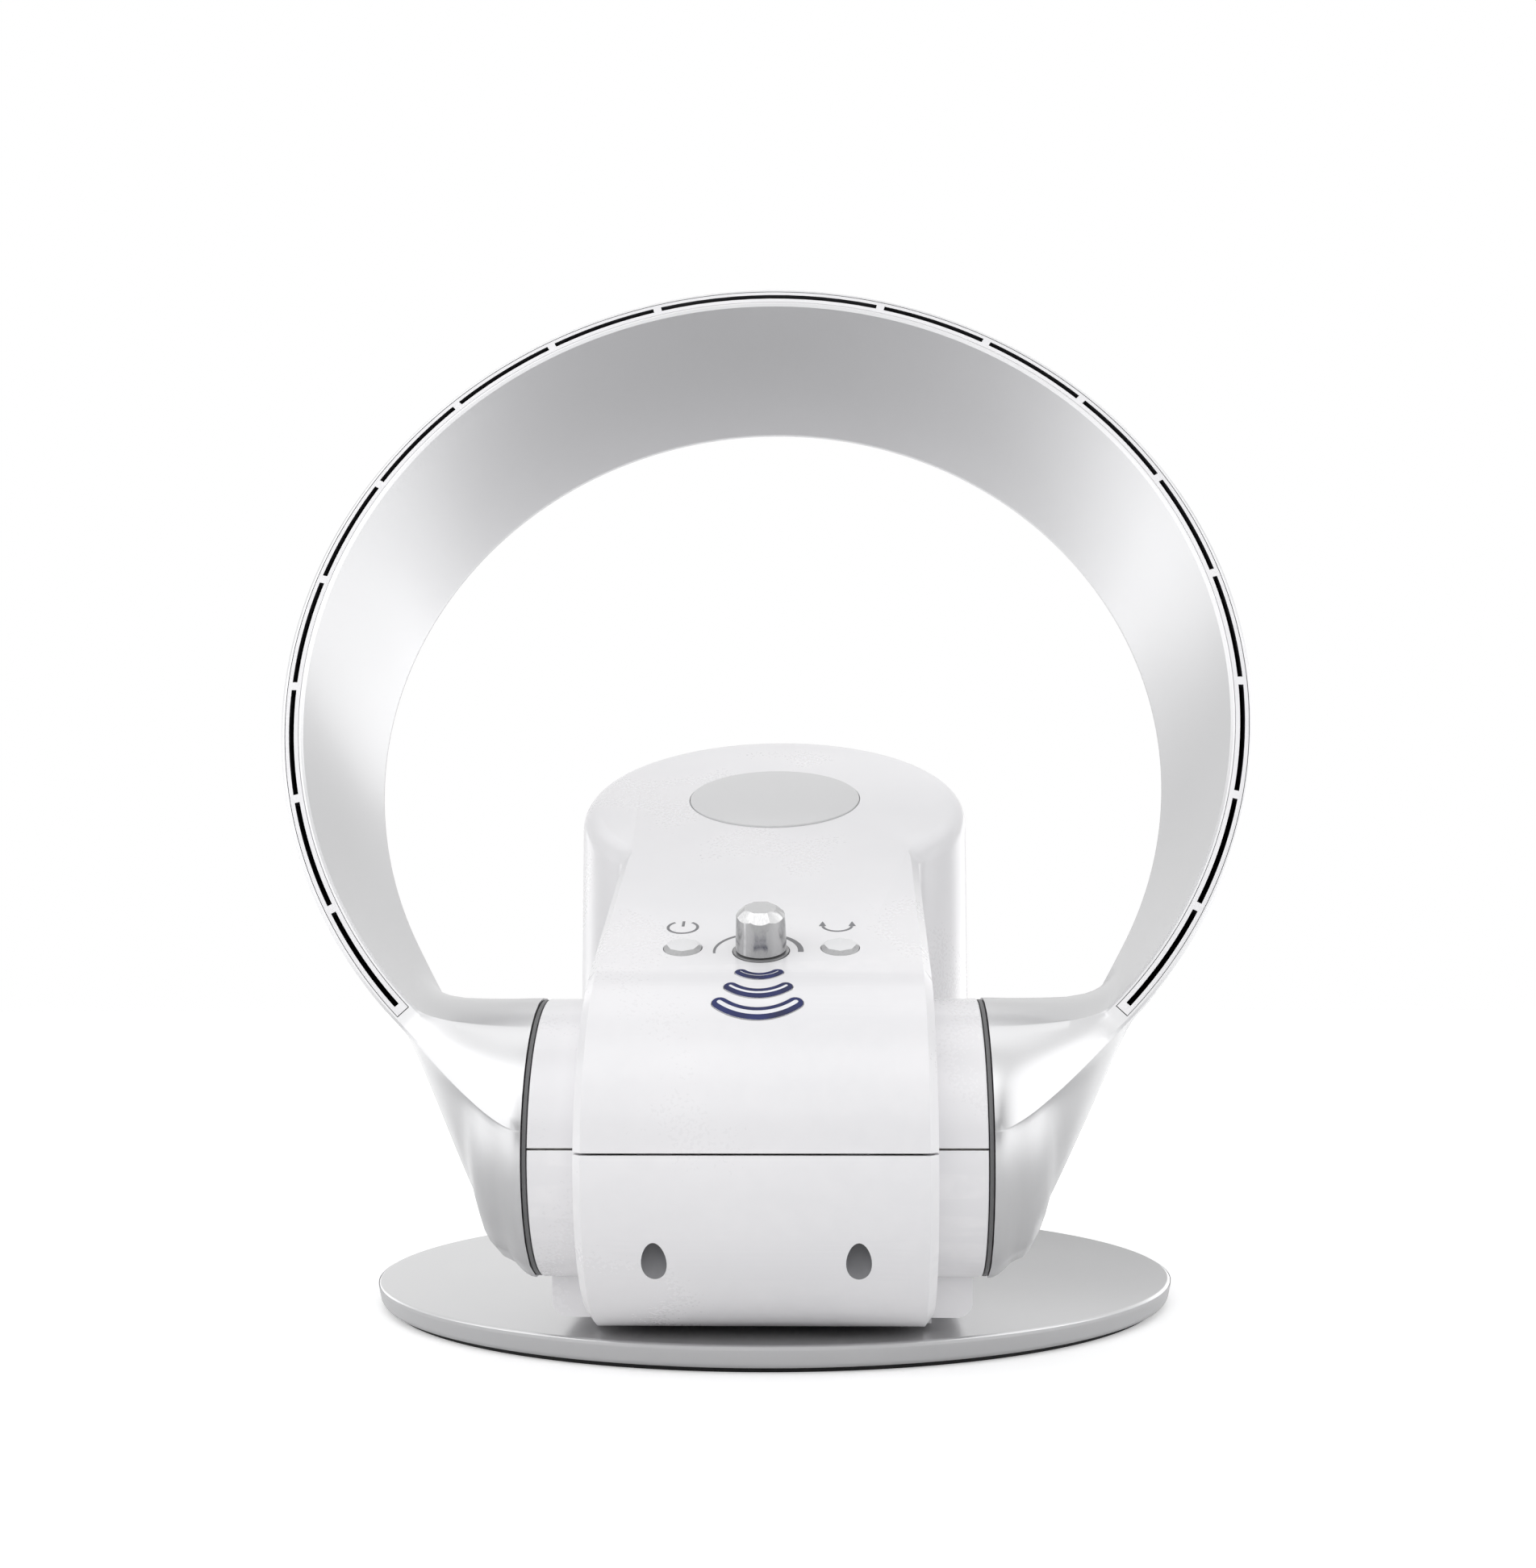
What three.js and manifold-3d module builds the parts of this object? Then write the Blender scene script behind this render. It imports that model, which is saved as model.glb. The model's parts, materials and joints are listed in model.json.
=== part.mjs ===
// Bladeless desk fan: an air ring on two legs tilts on a drum-fronted housing, which swings on a round base.
// Millimetres, +Z up, front faces -Y. The origin is the centre of the underside of the base.
import * as THREE from 'three';
import { mergeVertices } from 'three/addons/utils/BufferGeometryUtils.js';
import Module from 'manifold-3d';

const wasm = await Module();
wasm.setup();

// ---- Fits ----
const SEAT_GAP = 0.3; // between pieces that rest on or slide in each other
const SEAM_GAP = 0.7; // open line between the two housing shells
const LAP = 1; // of shapes that are joined, or of a cutter over the edge it cuts
const OVERRUN = 5; // of a cutter past an outer surface

// ---- Facets of round shapes ----
const LARGE_ROUND = 40;
const MEDIUM_ROUND = 20;
const SMALL_ROUND = 10;
const TINY_ROUND = 6;
const RING_STEPS = 28;
const LEG_STEPS = 5;

// ---- Base ----
const BASE_RADIUS = 153;
const BASE_COVER_HEIGHT = 7.4;
const BASE_COVER_WALL = 2.4;
const BASE_TOP_ROUND = 1.6;
const BASE_SIDE_TUCK = 2.2; // how far the side draws in towards its lower edge
const FOOT_HEIGHT = 1.8;
const FOOT_WIDTH = 9;
const CENTRE_PAD_RADIUS = 24; // hides the base screws
const BALLAST_THICKNESS = 3;
const BOTTOM_PLATE_THICKNESS = 1.2;

// ---- Housing ----
const HOUSING_RADIUS = 76.8; // upright rear cylinder, centred on the swing axis
const HOUSING_WALL = 2.6;
const DRUM_RADIUS = 60.4; // round front of the housing, about the hub axis, tangent to its floor
const DRUM_HALF_WIDTH = 55.1;
const DRUM_CHAMFER_WIDTH = 2.7;
const DRUM_CHAMFER_DROP = 3.6;
const HUB_FORWARD = 126; // hub axis in front of the swing axis
const HUB_HEIGHT = 71.5;
const PANEL_SLOPE = 24.1; // degrees, the top rises to the rear, tangent to the drum
const NECK_BLEND_RADIUS = 14; // hollow upright corner between drum sides and rear cylinder
const REAR_EDGE_ROUND = 8;
const SILL_HALF_WIDTH = 68;
const SILL_FRONT = 9; // ahead of the hub axis
const SILL_TOP_DROP = 26; // below the hub axis
const SILL_LIFT = 3.4; // underside above that of the housing
const SILL_CORNER_RADIUS = 5;
const SILL_REAR_END = 30.7; // ahead of the swing axis, inside the rear cylinder

// ---- Trunnions and pivots ----
const TRUNNION_RADIUS = 45;
const TRUNNION_HALF_SPAN = 71;
const SEAL_THICKNESS = 1.3;
const SEAL_WIDTH = 4.5;
const TEE_RADIUS = 41.5;
const TEE_WALL = 2.8;
const SLEEVE_WALL = 2.4;
const SLEEVE_REACH_IN = 27; // into the air tee
const SLEEVE_REACH_OUT = 8; // into the leg
const SLEEVE_LIP = 1.2;
const SLEEVE_LIP_LENGTH = 2;
const SLEEVE_LIP_LEAD = 0.7; // bevel that helps it into the tee

// ---- Air ring ----
const RING_TILT = 17; // degrees, leaning back at rest
const RING_CENTRE_RISE = 151.3; // hub axis to ring centre, along the ring plane
const RING_FRONT_FACE = 27.9; // ahead of the hub axis
const RING_DEPTH = 73.8;
const SLOT_CIRCLE_RADIUS = 165;
const RING_FRONT_INNER = SLOT_CIRCLE_RADIUS - 3.9;
const RING_FRONT_OUTER = SLOT_CIRCLE_RADIUS + 3.8;
const RING_REAR_INNER = RING_FRONT_INNER - 12.5;
const RING_REAR_OUTER = RING_FRONT_OUTER - 10.8;
const RING_FRONT_WALL = 1.2;
const RING_REAR_WALL = 2.2;
const RING_EDGE_ROUND = 0.8;
const LEG_START_FRONT = 137; // degrees round from the top, at the front face
const LEG_START_REAR = 126;
const HUB_DISC_RADIUS = 45.4;
const LEG_RING_PULL = { top: 30, side: 62, bottom: 114 }; // how hard the leg curves leave the ring
const LEG_HUB_PULL = { top: 52, side: 38, bottom: 24 }; // and how hard they meet the hub disc
const HUB_TURN_START = -6; // degrees round the hub disc, where the inner wall's front edge arrives
const HUB_INNER_TURN = 176; // degrees of the disc that the inner wall takes
const HUB_REAR_TURN = 22; // degrees for the rear lip
const HUB_FRONT_TURN = 24; // degrees for the front edge
const RIM_THICKNESS = 3;
const RIM_LEDGE = 0.2; // of the channel walls over the rim's edges
const SLOT_WIDTH = 2.2;
const RIM_HALF_ANGLE = 135; // degrees, end of the slotted rim
const SLOTS_PER_SIDE = 8; // beside the long slot over the top
const SLOT_BRIDGE = 3; // solid web between slots

// ---- Control panel ----
const KNOB_RADIUS = 8.4;
const KNOB_HEIGHT = 14.5;
const KNOB_TAPER = 0.5;
const KNOB_CHAMFER = 3.4;
const KNOB_UPSLOPE = 13.8; // from the crease between drum and panel
const KNOB_BORE_DEPTH = 9;
const COLLAR_RADIUS = 9.2;
const COLLAR_HEIGHT = 1.4;
const COLLAR_SINK = 0.8;
const SHAFT_RADIUS = 3;
const BUTTON_RADIUS = 6.2;
const BUTTON_SPACING = 25.9; // each side of the knob
const BUTTON_UPSLOPE = 16.2;
const BUTTON_PROUD = 0.9;
const BUTTON_DISH = 0.7;
const BUTTON_EDGE = 0.5;
const BUTTON_FLANGE = 1.2;
const BUTTON_FLANGE_THICKNESS = 1.4;
const BUTTON_STEM_RADIUS = 1.8;
const BUTTON_TRAVEL = 1;
const BADGE_RADIUS = 34.3;
const BADGE_UPSLOPE = 166.5;
const BADGE_THICKNESS = 1.6;
const BADGE_PROUD = 0.6;
const BADGE_EDGE_WIDTH = 0.8;
const BADGE_EDGE_DROP = 0.5;
const LENS_THICKNESS = 1.3;
const LENS_PROUD = 0.2;
const BOARD_THICKNESS = 1.6;
const BOARD_DEPTH_BELOW_PANEL = 12;
const BOARD_HALF_WIDTH = 35;
const BOARD_LENGTH = 32;
const SWITCH_SIZE = 6;
const SWITCH_HEIGHT = 3.2;
const POTENTIOMETER_SIZE = 15;
const POTENTIOMETER_HEIGHT = 7;

// ---- Blower ----
const IMPELLER_RADIUS = 36;
const IMPELLER_HEIGHT = 34;
const IMPELLER_PLATE = 1.8;
const IMPELLER_LIFT = 5; // over the scroll's floor
const IMPELLER_EYE_RADIUS = 27;
const IMPELLER_BLADES = 9;
const BLADE_THICKNESS = 1.5;
const BLADE_SWEEP = 38; // degrees round from root to tip
const MOTOR_RADIUS = 16;
const MOTOR_HEIGHT = 24;
const MOTOR_CUP_GAP = 1;
const MOTOR_CUP_WALL = 1.8;
const MOTOR_SHAFT_REACH = 4; // over the motor
const MOTOR_SHAFT_RADIUS = 2.5;
const CUSHION_THICKNESS = 2;
const SCROLL_WALL = 2;
const SCROLL_TONGUE_RADIUS = 39;
const SCROLL_END_RADIUS = 48;
const SCROLL_HEIGHT = 46; // inside
const SCROLL_MOUTH_WALL = 1.6;
const SCROLL_MOUTH_FLARE = 5;
const MOUTH_OVERHANG = 1; // of the mouth inside the wheel's eye and above the wheel
const SCROLL_TONGUE_ANGLE = -97; // degrees, where the spiral starts
const OUTLET_REACH = 84; // ahead of the swing axis
const COLLAR_ENGAGEMENT = 5; // of the air tee in the outlet
const TEE_COLLAR_WALL = 1.8;

// ---- Intake grille ----
const GRILLE_HALF_ANGLE = 62; // degrees either side of the rear
const GRILLE_SILL_HEIGHT = 90;
const GRILLE_HEIGHT = 82;
const GRILLE_THICKNESS = 2;
const GRILLE_SLOT_WIDTH = 5.4;
const GRILLE_SLOT_PITCH = 10.4;
const GRILLE_ROWS = 2;
const GRILLE_BAND = 5;

// ---- Swing drive ----
const GEAR_MODULE = 1.5;
const GEAR_TEETH = 40;
const PINION_TEETH = 16;
const GEAR_FACE = 6;
const GEAR_BACKLASH = 0.5;
const PRESSURE_ANGLE = 20; // degrees
const GEAR_HALF_SECTOR = 70; // degrees of toothed rim each side of the pinion
const GEAR_POST_RADIUS = 24;
const GEAR_LIFT = 1.3; // over the housing floor
const PINION_BORE_RADIUS = 2.5;
const SWING_MOTOR_RADIUS = 21;
const SWING_MOTOR_HEIGHT = 15;
const SWING_MOTOR_LIFT = 1.8; // over the pinion
const SWING_MOTOR_EAR_REACH = 27;
const SWING_MOTOR_EAR = 2;
const SWING_MOTOR_EAR_RADIUS = 4.5;
const WIRE_WAY_RADIUS = 7;
const GLIDE_INNER_RADIUS = 56;
const GLIDE_WIDTH = 9;

// ---- Fasteners, posts and inlet ----
const SCREW_SHANK_RADIUS = 1.7;
const SCREW_HEAD_RADIUS = 3.4;
const SCREW_HEAD_HEIGHT = 2.4;
const SCREW_HEAD_EDGE = 0.6;
const SCREW_BORE_RADIUS = 3.9;
const SCREW_LENGTH = 22;
const SCREW_HEAD_DROP = 14; // front screw seats below the seam
const FRONT_SCREW_SPACING = 31;
const FRONT_SCREW_FORWARD = 50.2; // ahead of the hub axis
const REAR_SCREW_INSET = 6.6; // from the rear cylinder's surface
const BOSS_RADIUS = 5.4;
const REAR_BOSS_RISE = 14; // above the seam
const BASE_SCREW_CIRCLE = 15;
const BASE_SCREWS = 3;
const BASE_SCREW_LENGTH = 12;
const POST_RADIUS = 3.4;
const INLET_HEIGHT = 52;
const INLET_RADIUS = 5.2;
const INLET_FLANGE_RADIUS = 7.6;
const INLET_FLANGE_THICKNESS = 1.5;
const INLET_FLANGE_DROP = 1.3; // from the curved wall, at the middle
const INLET_LENGTH = 14;
const INLET_BORE_RADIUS = 2.9;
const INLET_PIN_RADIUS = 1;
const INLET_END_WALL = 3;
const INLET_RECESS = 0.6;
const PIN_RECESS = 2;
const DRIVER_BOARD_LIFT = 11; // over the housing floor
const DRIVER_BOARD_HALF_WIDTH = 31;
const DRIVER_BOARD_LENGTH = 30;
const BOARD_POST_INSET = 7;
const CAPACITOR_RADIUS = 5;
const CAPACITOR_HEIGHT = 12;
const CHIP_SIZE = 14;
const CHIP_HEIGHT = 2;
const CHOKE_SIZE = 10;
const CHOKE_HEIGHT = 8;
const COMPONENT_PITCH = 20;

// ---- Places worked out from the sizes above ----
const baseTop = FOOT_HEIGHT + BASE_COVER_HEIGHT;
const housingBottom = HUB_HEIGHT - DRUM_RADIUS;
const housingFloor = housingBottom + HOUSING_WALL;
const slope = THREE.MathUtils.degToRad(PANEL_SLOPE);
const hubY = -HUB_FORWARD;
const pinionDistance = (GEAR_MODULE * (GEAR_TEETH + PINION_TEETH)) / 2;
const gearBottom = housingFloor + GEAR_LIFT;
const scrollFloor = HUB_HEIGHT - SCROLL_HEIGHT / 2;
const scrollTop = HUB_HEIGHT + SCROLL_HEIGHT / 2;
const teeBore = TEE_RADIUS - TEE_WALL;
const sleeveRadius = teeBore - SEAT_GAP;
const hubFace = TRUNNION_HALF_SPAN + SEAL_THICKNESS + 2 * SEAT_GAP;
const grilleColumns = Math.floor(
  (2 * THREE.MathUtils.degToRad(GRILLE_HALF_ANGLE) * HOUSING_RADIUS) / GRILLE_SLOT_PITCH,
) - 1;
const screwHole = SCREW_SHANK_RADIUS + SEAT_GAP;
const hubTurns = {
  innerEnd: HUB_TURN_START + HUB_INNER_TURN,
  outerStart: HUB_TURN_START + HUB_INNER_TURN + HUB_REAR_TURN,
  outerEnd: HUB_TURN_START + 360 - HUB_FRONT_TURN,
};
const seamUpper = HUB_HEIGHT + SEAM_GAP / 2;
const seamLower = HUB_HEIGHT - SEAM_GAP / 2;

// ---- Finishes ----
const finish = (color, roughness, metalness = 0) =>
  new THREE.MeshStandardMaterial({ color, roughness, metalness });
const WHITE_PLASTIC = ['#eeecef', 0.28];
const SILVER_PAINT = ['#d2d2d4', 0.3, 0.75];
const BRIGHT_METAL = ['#d8d8da', 0.2, 1];
const STEEL = ['#8e9196', 0.4, 1];
const DARK_RUBBER = ['#1c1c1e', 0.8];
const BLACK_PLASTIC = ['#202124', 0.5];
const GREY_PLASTIC = ['#cfd0d2', 0.4];
const LENS_TINT = ['#14205e', 0.15];
const NATURAL_PLASTIC = ['#e6e2d4', 0.45];
const BOARD_GREEN = ['#1f5a3a', 0.5];

// ---- Shape helpers ----
const rad = THREE.MathUtils.degToRad;
const point = (x, y, z) => new THREE.Vector3(x, y, z);

/** Merges vertices, drops triangles that the merge flattened and turns the faces outwards. */
function closed(geometry) {
  const bare = geometry.clone();
  bare.deleteAttribute('normal');
  bare.deleteAttribute('uv');
  const merged = mergeVertices(bare, 1e-4);
  const source = merged.index.array;
  const place = merged.attributes.position;
  const kept = [];
  let volume = 0;
  const a = new THREE.Vector3();
  const b = new THREE.Vector3();
  const c = new THREE.Vector3();
  for (let i = 0; i < source.length; i += 3) {
    const [p, q, r] = [source[i], source[i + 1], source[i + 2]];
    if (p === q || q === r || r === p) continue;
    kept.push(p, q, r);
    a.fromBufferAttribute(place, p);
    b.fromBufferAttribute(place, q);
    c.fromBufferAttribute(place, r);
    volume += a.dot(b.cross(c));
  }
  if (volume < 0) kept.reverse();
  merged.setIndex(kept);
  return merged;
}

function solid(geometry) {
  const whole = closed(geometry);
  return new wasm.Manifold(
    new wasm.Mesh({
      numProp: 3,
      vertProperties: new Float32Array(whole.attributes.position.array),
      triVerts: new Uint32Array(whole.index.array),
    }),
  );
}

function geometryOf(manifold) {
  const mesh = manifold.getMesh();
  const geometry = new THREE.BufferGeometry();
  geometry.setAttribute('position', new THREE.BufferAttribute(mesh.vertProperties, 3));
  geometry.setIndex(new THREE.BufferAttribute(mesh.triVerts, 1));
  return geometry;
}

const joined = (...solids) => solids.reduce((whole, next) => whole.add(next));
const without = (body, ...cutters) => cutters.reduce((left, cutter) => left.subtract(cutter), body);

/** A turned solid about Z, from [radius, height] pairs that start and end on the axis or close on themselves. */
function turned(profile, segments = MEDIUM_ROUND) {
  const outline = profile.map(([r, z]) => new THREE.Vector2(r, z));
  return new THREE.LatheGeometry(outline, segments).rotateX(Math.PI / 2);
}

/** An upright round bar or, with a bore, a ring between two heights. */
function round(radius, bottom, top, bore = 0, segments = MEDIUM_ROUND) {
  const profile = [[bore, bottom], [radius, bottom], [radius, top], [bore, top]];
  if (bore > 0) profile.push([bore, bottom]);
  return turned(profile, segments);
}

/** An upright round bar at an [x, y] place, as a solid. */
const bar = ([x, y], radius, bottom, top, segments = SMALL_ROUND) =>
  solid(round(radius, bottom, top, 0, segments).translate(x, y, 0));

function block(xMin, xMax, yMin, yMax, zMin, zMax) {
  const geometry = new THREE.BoxGeometry(xMax - xMin, yMax - yMin, zMax - zMin);
  return geometry.translate((xMin + xMax) / 2, (yMin + yMax) / 2, (zMin + zMax) / 2);
}

/** A plan outline of [x, y] pairs, raised between two heights. */
function raised(outline, bottom, top) {
  const shape = new THREE.Shape(outline.map(([x, y]) => new THREE.Vector2(x, y)));
  const body = new THREE.ExtrudeGeometry(shape, { depth: top - bottom, bevelEnabled: false });
  return body.translate(0, 0, bottom);
}

/** Turns a solid about Z into one about X. */
const alongX = (geometry) => geometry.rotateY(Math.PI / 2);

/** Moves a shape made about the hub axis, with the swing axis as its Y zero, to the hub. */
const atHub = (geometry) => geometry.translate(0, hubY, HUB_HEIGHT);

/** Moves a shape from the panel's frame (x, up the slope, out of the panel) to the model's. */
const atPanel = (geometry) => atHub(geometry.rotateX(slope));

/** Skins a stack of equal rings of points and closes its two ends flat. */
function loft(rings) {
  const count = rings[0].length;
  const positions = rings.flat().flatMap((p) => [p.x, p.y, p.z]);
  const index = [];
  for (let k = 0; k + 1 < rings.length; k += 1) {
    for (let i = 0; i < count; i += 1) {
      const next = (i + 1) % count;
      const [low, lowNext] = [k * count + i, k * count + next];
      const [high, highNext] = [low + count, lowNext + count];
      index.push(low, lowNext, highNext, low, highNext, high);
    }
  }
  const plan = rings[0].map((p) => new THREE.Vector2(p.x, p.y));
  const last = (rings.length - 1) * count;
  for (const [a, b, c] of THREE.ShapeUtils.triangulateShape(plan, [])) {
    index.push(a, c, b, last + a, last + b, last + c);
  }
  const geometry = new THREE.BufferGeometry();
  geometry.setAttribute('position', new THREE.Float32BufferAttribute(positions, 3));
  geometry.setIndex(index);
  return geometry;
}

/** Skins an open-ended tube wall between an outer and an inner stack of equal rings. */
function tubeWall(outer, inner) {
  const count = outer[0].length;
  const positions = [...outer.flat(), ...inner.flat()].flatMap((p) => [p.x, p.y, p.z]);
  const innerStart = outer.length * count;
  const last = (outer.length - 1) * count;
  const index = [];
  for (let i = 0; i < count; i += 1) {
    const next = (i + 1) % count;
    for (let k = 0; k < last; k += count) {
      const [a, b, c, d] = [k + i, k + next, k + count + next, k + count + i];
      index.push(a, b, c, a, c, d);
      index.push(...[a, c, b, a, d, c].map((n) => n + innerStart));
    }
    index.push(i, innerStart + i, innerStart + next, i, innerStart + next, next);
    const [p, q] = [last + i, last + next];
    index.push(p, q, innerStart + q, p, innerStart + q, innerStart + p);
  }
  const geometry = new THREE.BufferGeometry();
  geometry.setAttribute('position', new THREE.Float32BufferAttribute(positions, 3));
  geometry.setIndex(index);
  return geometry;
}

// ---- Scene graph ----
const fan = new THREE.Group();

function addPiece(name, shape, look, parent = fan) {
  const geometry = shape instanceof THREE.BufferGeometry ? closed(shape) : geometryOf(shape);
  const mesh = new THREE.Mesh(geometry, finish(...look));
  mesh.name = name;
  parent.add(mesh);
  return mesh;
}

// ---- Housing forms ----
const panelHeight = (y, sink = 0) =>
  HUB_HEIGHT + (DRUM_RADIUS - sink + (y - hubY) * Math.sin(slope)) / Math.cos(slope);

/** The round front, about the hub axis, chamfered at both sides; its facets start from the given turn. */
function drumForm(sink, turn) {
  const [r, w] = [DRUM_RADIUS - sink, DRUM_HALF_WIDTH - sink];
  const side = [[r - DRUM_CHAMFER_DROP, w], [r, w - DRUM_CHAMFER_WIDTH]];
  const profile = [[0, -w], [side[0][0], -w], [r, -side[1][1]], [r, side[1][1]], side[0], [0, w]];
  return solid(atHub(alongX(turned(profile, LARGE_ROUND)).rotateX(turn)));
}

/** Plan of the neck and rear cylinder: one station per point, each placed for any inset from the wall. */
function planStations(front) {
  const cornerX = DRUM_HALF_WIDTH + NECK_BLEND_RADIUS;
  const cornerY = -Math.sqrt((HOUSING_RADIUS + NECK_BLEND_RADIUS) ** 2 - cornerX ** 2);
  const meeting = Math.atan2(cornerY, cornerX);
  const half = [front, front + LAP].map((y) => ({ edge: 0, at: (o) => [DRUM_HALF_WIDTH - o, y] }));
  const blendEdge = 0.6; // share of the rear edge's round at the end of the blend
  const blendSteps = 4;
  for (let i = 0; i <= blendSteps; i += 1) {
    const turn = Math.PI - (i / blendSteps) * -meeting;
    half.push({
      edge: (blendEdge * i) / blendSteps,
      at: (o) => [
        cornerX + (NECK_BLEND_RADIUS + o) * Math.cos(turn),
        cornerY + (NECK_BLEND_RADIUS + o) * Math.sin(turn),
      ],
    });
  }
  const rearSteps = 10;
  for (let i = 1; i <= rearSteps; i += 1) {
    const angle = meeting + (i / rearSteps) * (Math.PI / 2 - meeting);
    half.push({
      edge: Math.min(1, blendEdge + (2 * i) / rearSteps),
      at: (o) => [(HOUSING_RADIUS - o) * Math.cos(angle), (HOUSING_RADIUS - o) * Math.sin(angle)],
    });
  }
  const mirrored = half.slice(0, -1).reverse().map(({ edge, at }) => {
    const across = (o) => [-at(o)[0], at(o)[1]];
    return { edge, at: across };
  });
  return [...half, ...mirrored];
}

/** Neck and rear cylinder under the sloping panel, with a rounded upper edge. */
function rearForm(sink, bottom, front) {
  const stations = planStations(front);
  const ring = (offsetOf, heightOf) =>
    stations.map((station) => {
      const [x, y] = station.at(sink + offsetOf(station));
      return point(x, y, heightOf(station, y));
    });
  const width = (edge) => THREE.MathUtils.lerp(DRUM_CHAMFER_WIDTH, REAR_EDGE_ROUND - sink, edge);
  const drop = (edge) => THREE.MathUtils.lerp(DRUM_CHAMFER_DROP, REAR_EDGE_ROUND - sink, edge);
  const rings = [ring(() => 0, () => bottom)];
  const edgeSteps = 3;
  for (let k = 0; k <= edgeSteps; k += 1) {
    const share = k / edgeSteps;
    const turn = (share * Math.PI) / 2;
    const bevelOrRound = (straight, curved, edge) => THREE.MathUtils.lerp(straight, curved, edge);
    rings.push(
      ring(
        ({ edge }) => width(edge) * bevelOrRound(share, 1 - Math.cos(turn), edge),
        ({ edge }, y) => panelHeight(y, sink) - drop(edge) * bevelOrRound(1 - share, 1 - Math.sin(turn), edge),
      ),
    );
  }
  return solid(loft(rings));
}

/** Low shoulders under the trunnions, running back into the rear cylinder. */
function sillForm(sink) {
  const [w, r] = [SILL_HALF_WIDTH - sink, SILL_CORNER_RADIUS];
  const [bottom, top] = [housingBottom + SILL_LIFT + sink, HUB_HEIGHT - SILL_TOP_DROP - sink];
  const outline = [[-w, top]];
  const cornerSteps = 3;
  for (let side = -1; side <= 1; side += 2) {
    for (let i = 0; i <= cornerSteps; i += 1) {
      const turn = ((side < 0 ? i : cornerSteps - i) / cornerSteps) * (Math.PI / 2);
      outline.push([side * (w - r + r * Math.cos(turn)), bottom + r - r * Math.sin(turn)]);
    }
  }
  outline.push([w, top]);
  const length = HUB_FORWARD + SILL_FRONT - sink - SILL_REAR_END;
  const body = raised(outline, 0, length).rotateX(Math.PI / 2);
  return solid(body.translate(0, hubY - SILL_FRONT + sink + length, 0));
}

function trunnionForm(radius, halfSpan) {
  return solid(atHub(alongX(round(radius, -halfSpan, halfSpan, 0, LARGE_ROUND))));
}

const creaseY = (sink) => hubY - (DRUM_RADIUS - sink) * Math.sin(slope); // where the panel meets the drum
const beyond = 2 * (HUB_FORWARD + HOUSING_RADIUS); // past the whole housing
const above = (z) => solid(block(-beyond, beyond, -beyond, beyond, z, z + beyond));
const below = (z) => solid(block(-beyond, beyond, -beyond, beyond, z - beyond, z));

const frontScrews = [-1, 1].map((side) => [side * FRONT_SCREW_SPACING, hubY - FRONT_SCREW_FORWARD]);
const rearScrewY = (HOUSING_RADIUS - REAR_SCREW_INSET) * Math.SQRT1_2;
const rearScrews = [-1, 1].map((side) => [side * rearScrewY, rearScrewY]);

// ---- Indicator windows: three curved bars that widen down the drum ----
const WINDOWS = [
  { name: 'indicator_low', along: 31, halfWidth: 7.7, thickness: 3.8, bend: 7.7 },
  { name: 'indicator_middle', along: 40.4, halfWidth: 10.8, thickness: 4.4, bend: 12.8 },
  { name: 'indicator_high', along: 49.4, halfWidth: 14.2, thickness: 5, bend: 17.7 },
];

/** A bent bar with round ends, its middle at the origin and its ends turned up. */
function bentBar({ halfWidth, thickness, bend }, grow) {
  const half = thickness / 2;
  const sweep = Math.asin((halfWidth - half) / bend);
  const shape = new THREE.Shape();
  const [outer, inner] = [bend + half + grow, bend - half - grow];
  shape.absarc(0, bend, outer, -Math.PI / 2 - sweep, -Math.PI / 2 + sweep, false);
  const endX = bend * Math.sin(sweep);
  const endY = bend * (1 - Math.cos(sweep));
  shape.absarc(endX, endY, half + grow, sweep - Math.PI / 2, sweep + Math.PI / 2, false);
  shape.absarc(0, bend, inner, -Math.PI / 2 + sweep, -Math.PI / 2 - sweep, true);
  shape.absarc(-endX, endY, half + grow, Math.PI / 2 - sweep, (3 * Math.PI) / 2 - sweep, false);
  return shape;
}

/** The window's prism, cut to a band of the drum's wall. */
function windowForm(spec, grow, innerRadius, outerRadius) {
  const prism = new THREE.ExtrudeGeometry(bentBar(spec, grow), {
    depth: outerRadius + LENS_THICKNESS,
    bevelEnabled: false,
    curveSegments: 2,
  });
  const whole = solid(atHub(prism.rotateX(spec.along / DRUM_RADIUS)));
  const side = spec.halfWidth + OVERRUN;
  const band = solid(atHub(alongX(round(outerRadius, -side, side, innerRadius, LARGE_ROUND))));
  return whole.intersect(band);
}

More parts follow.
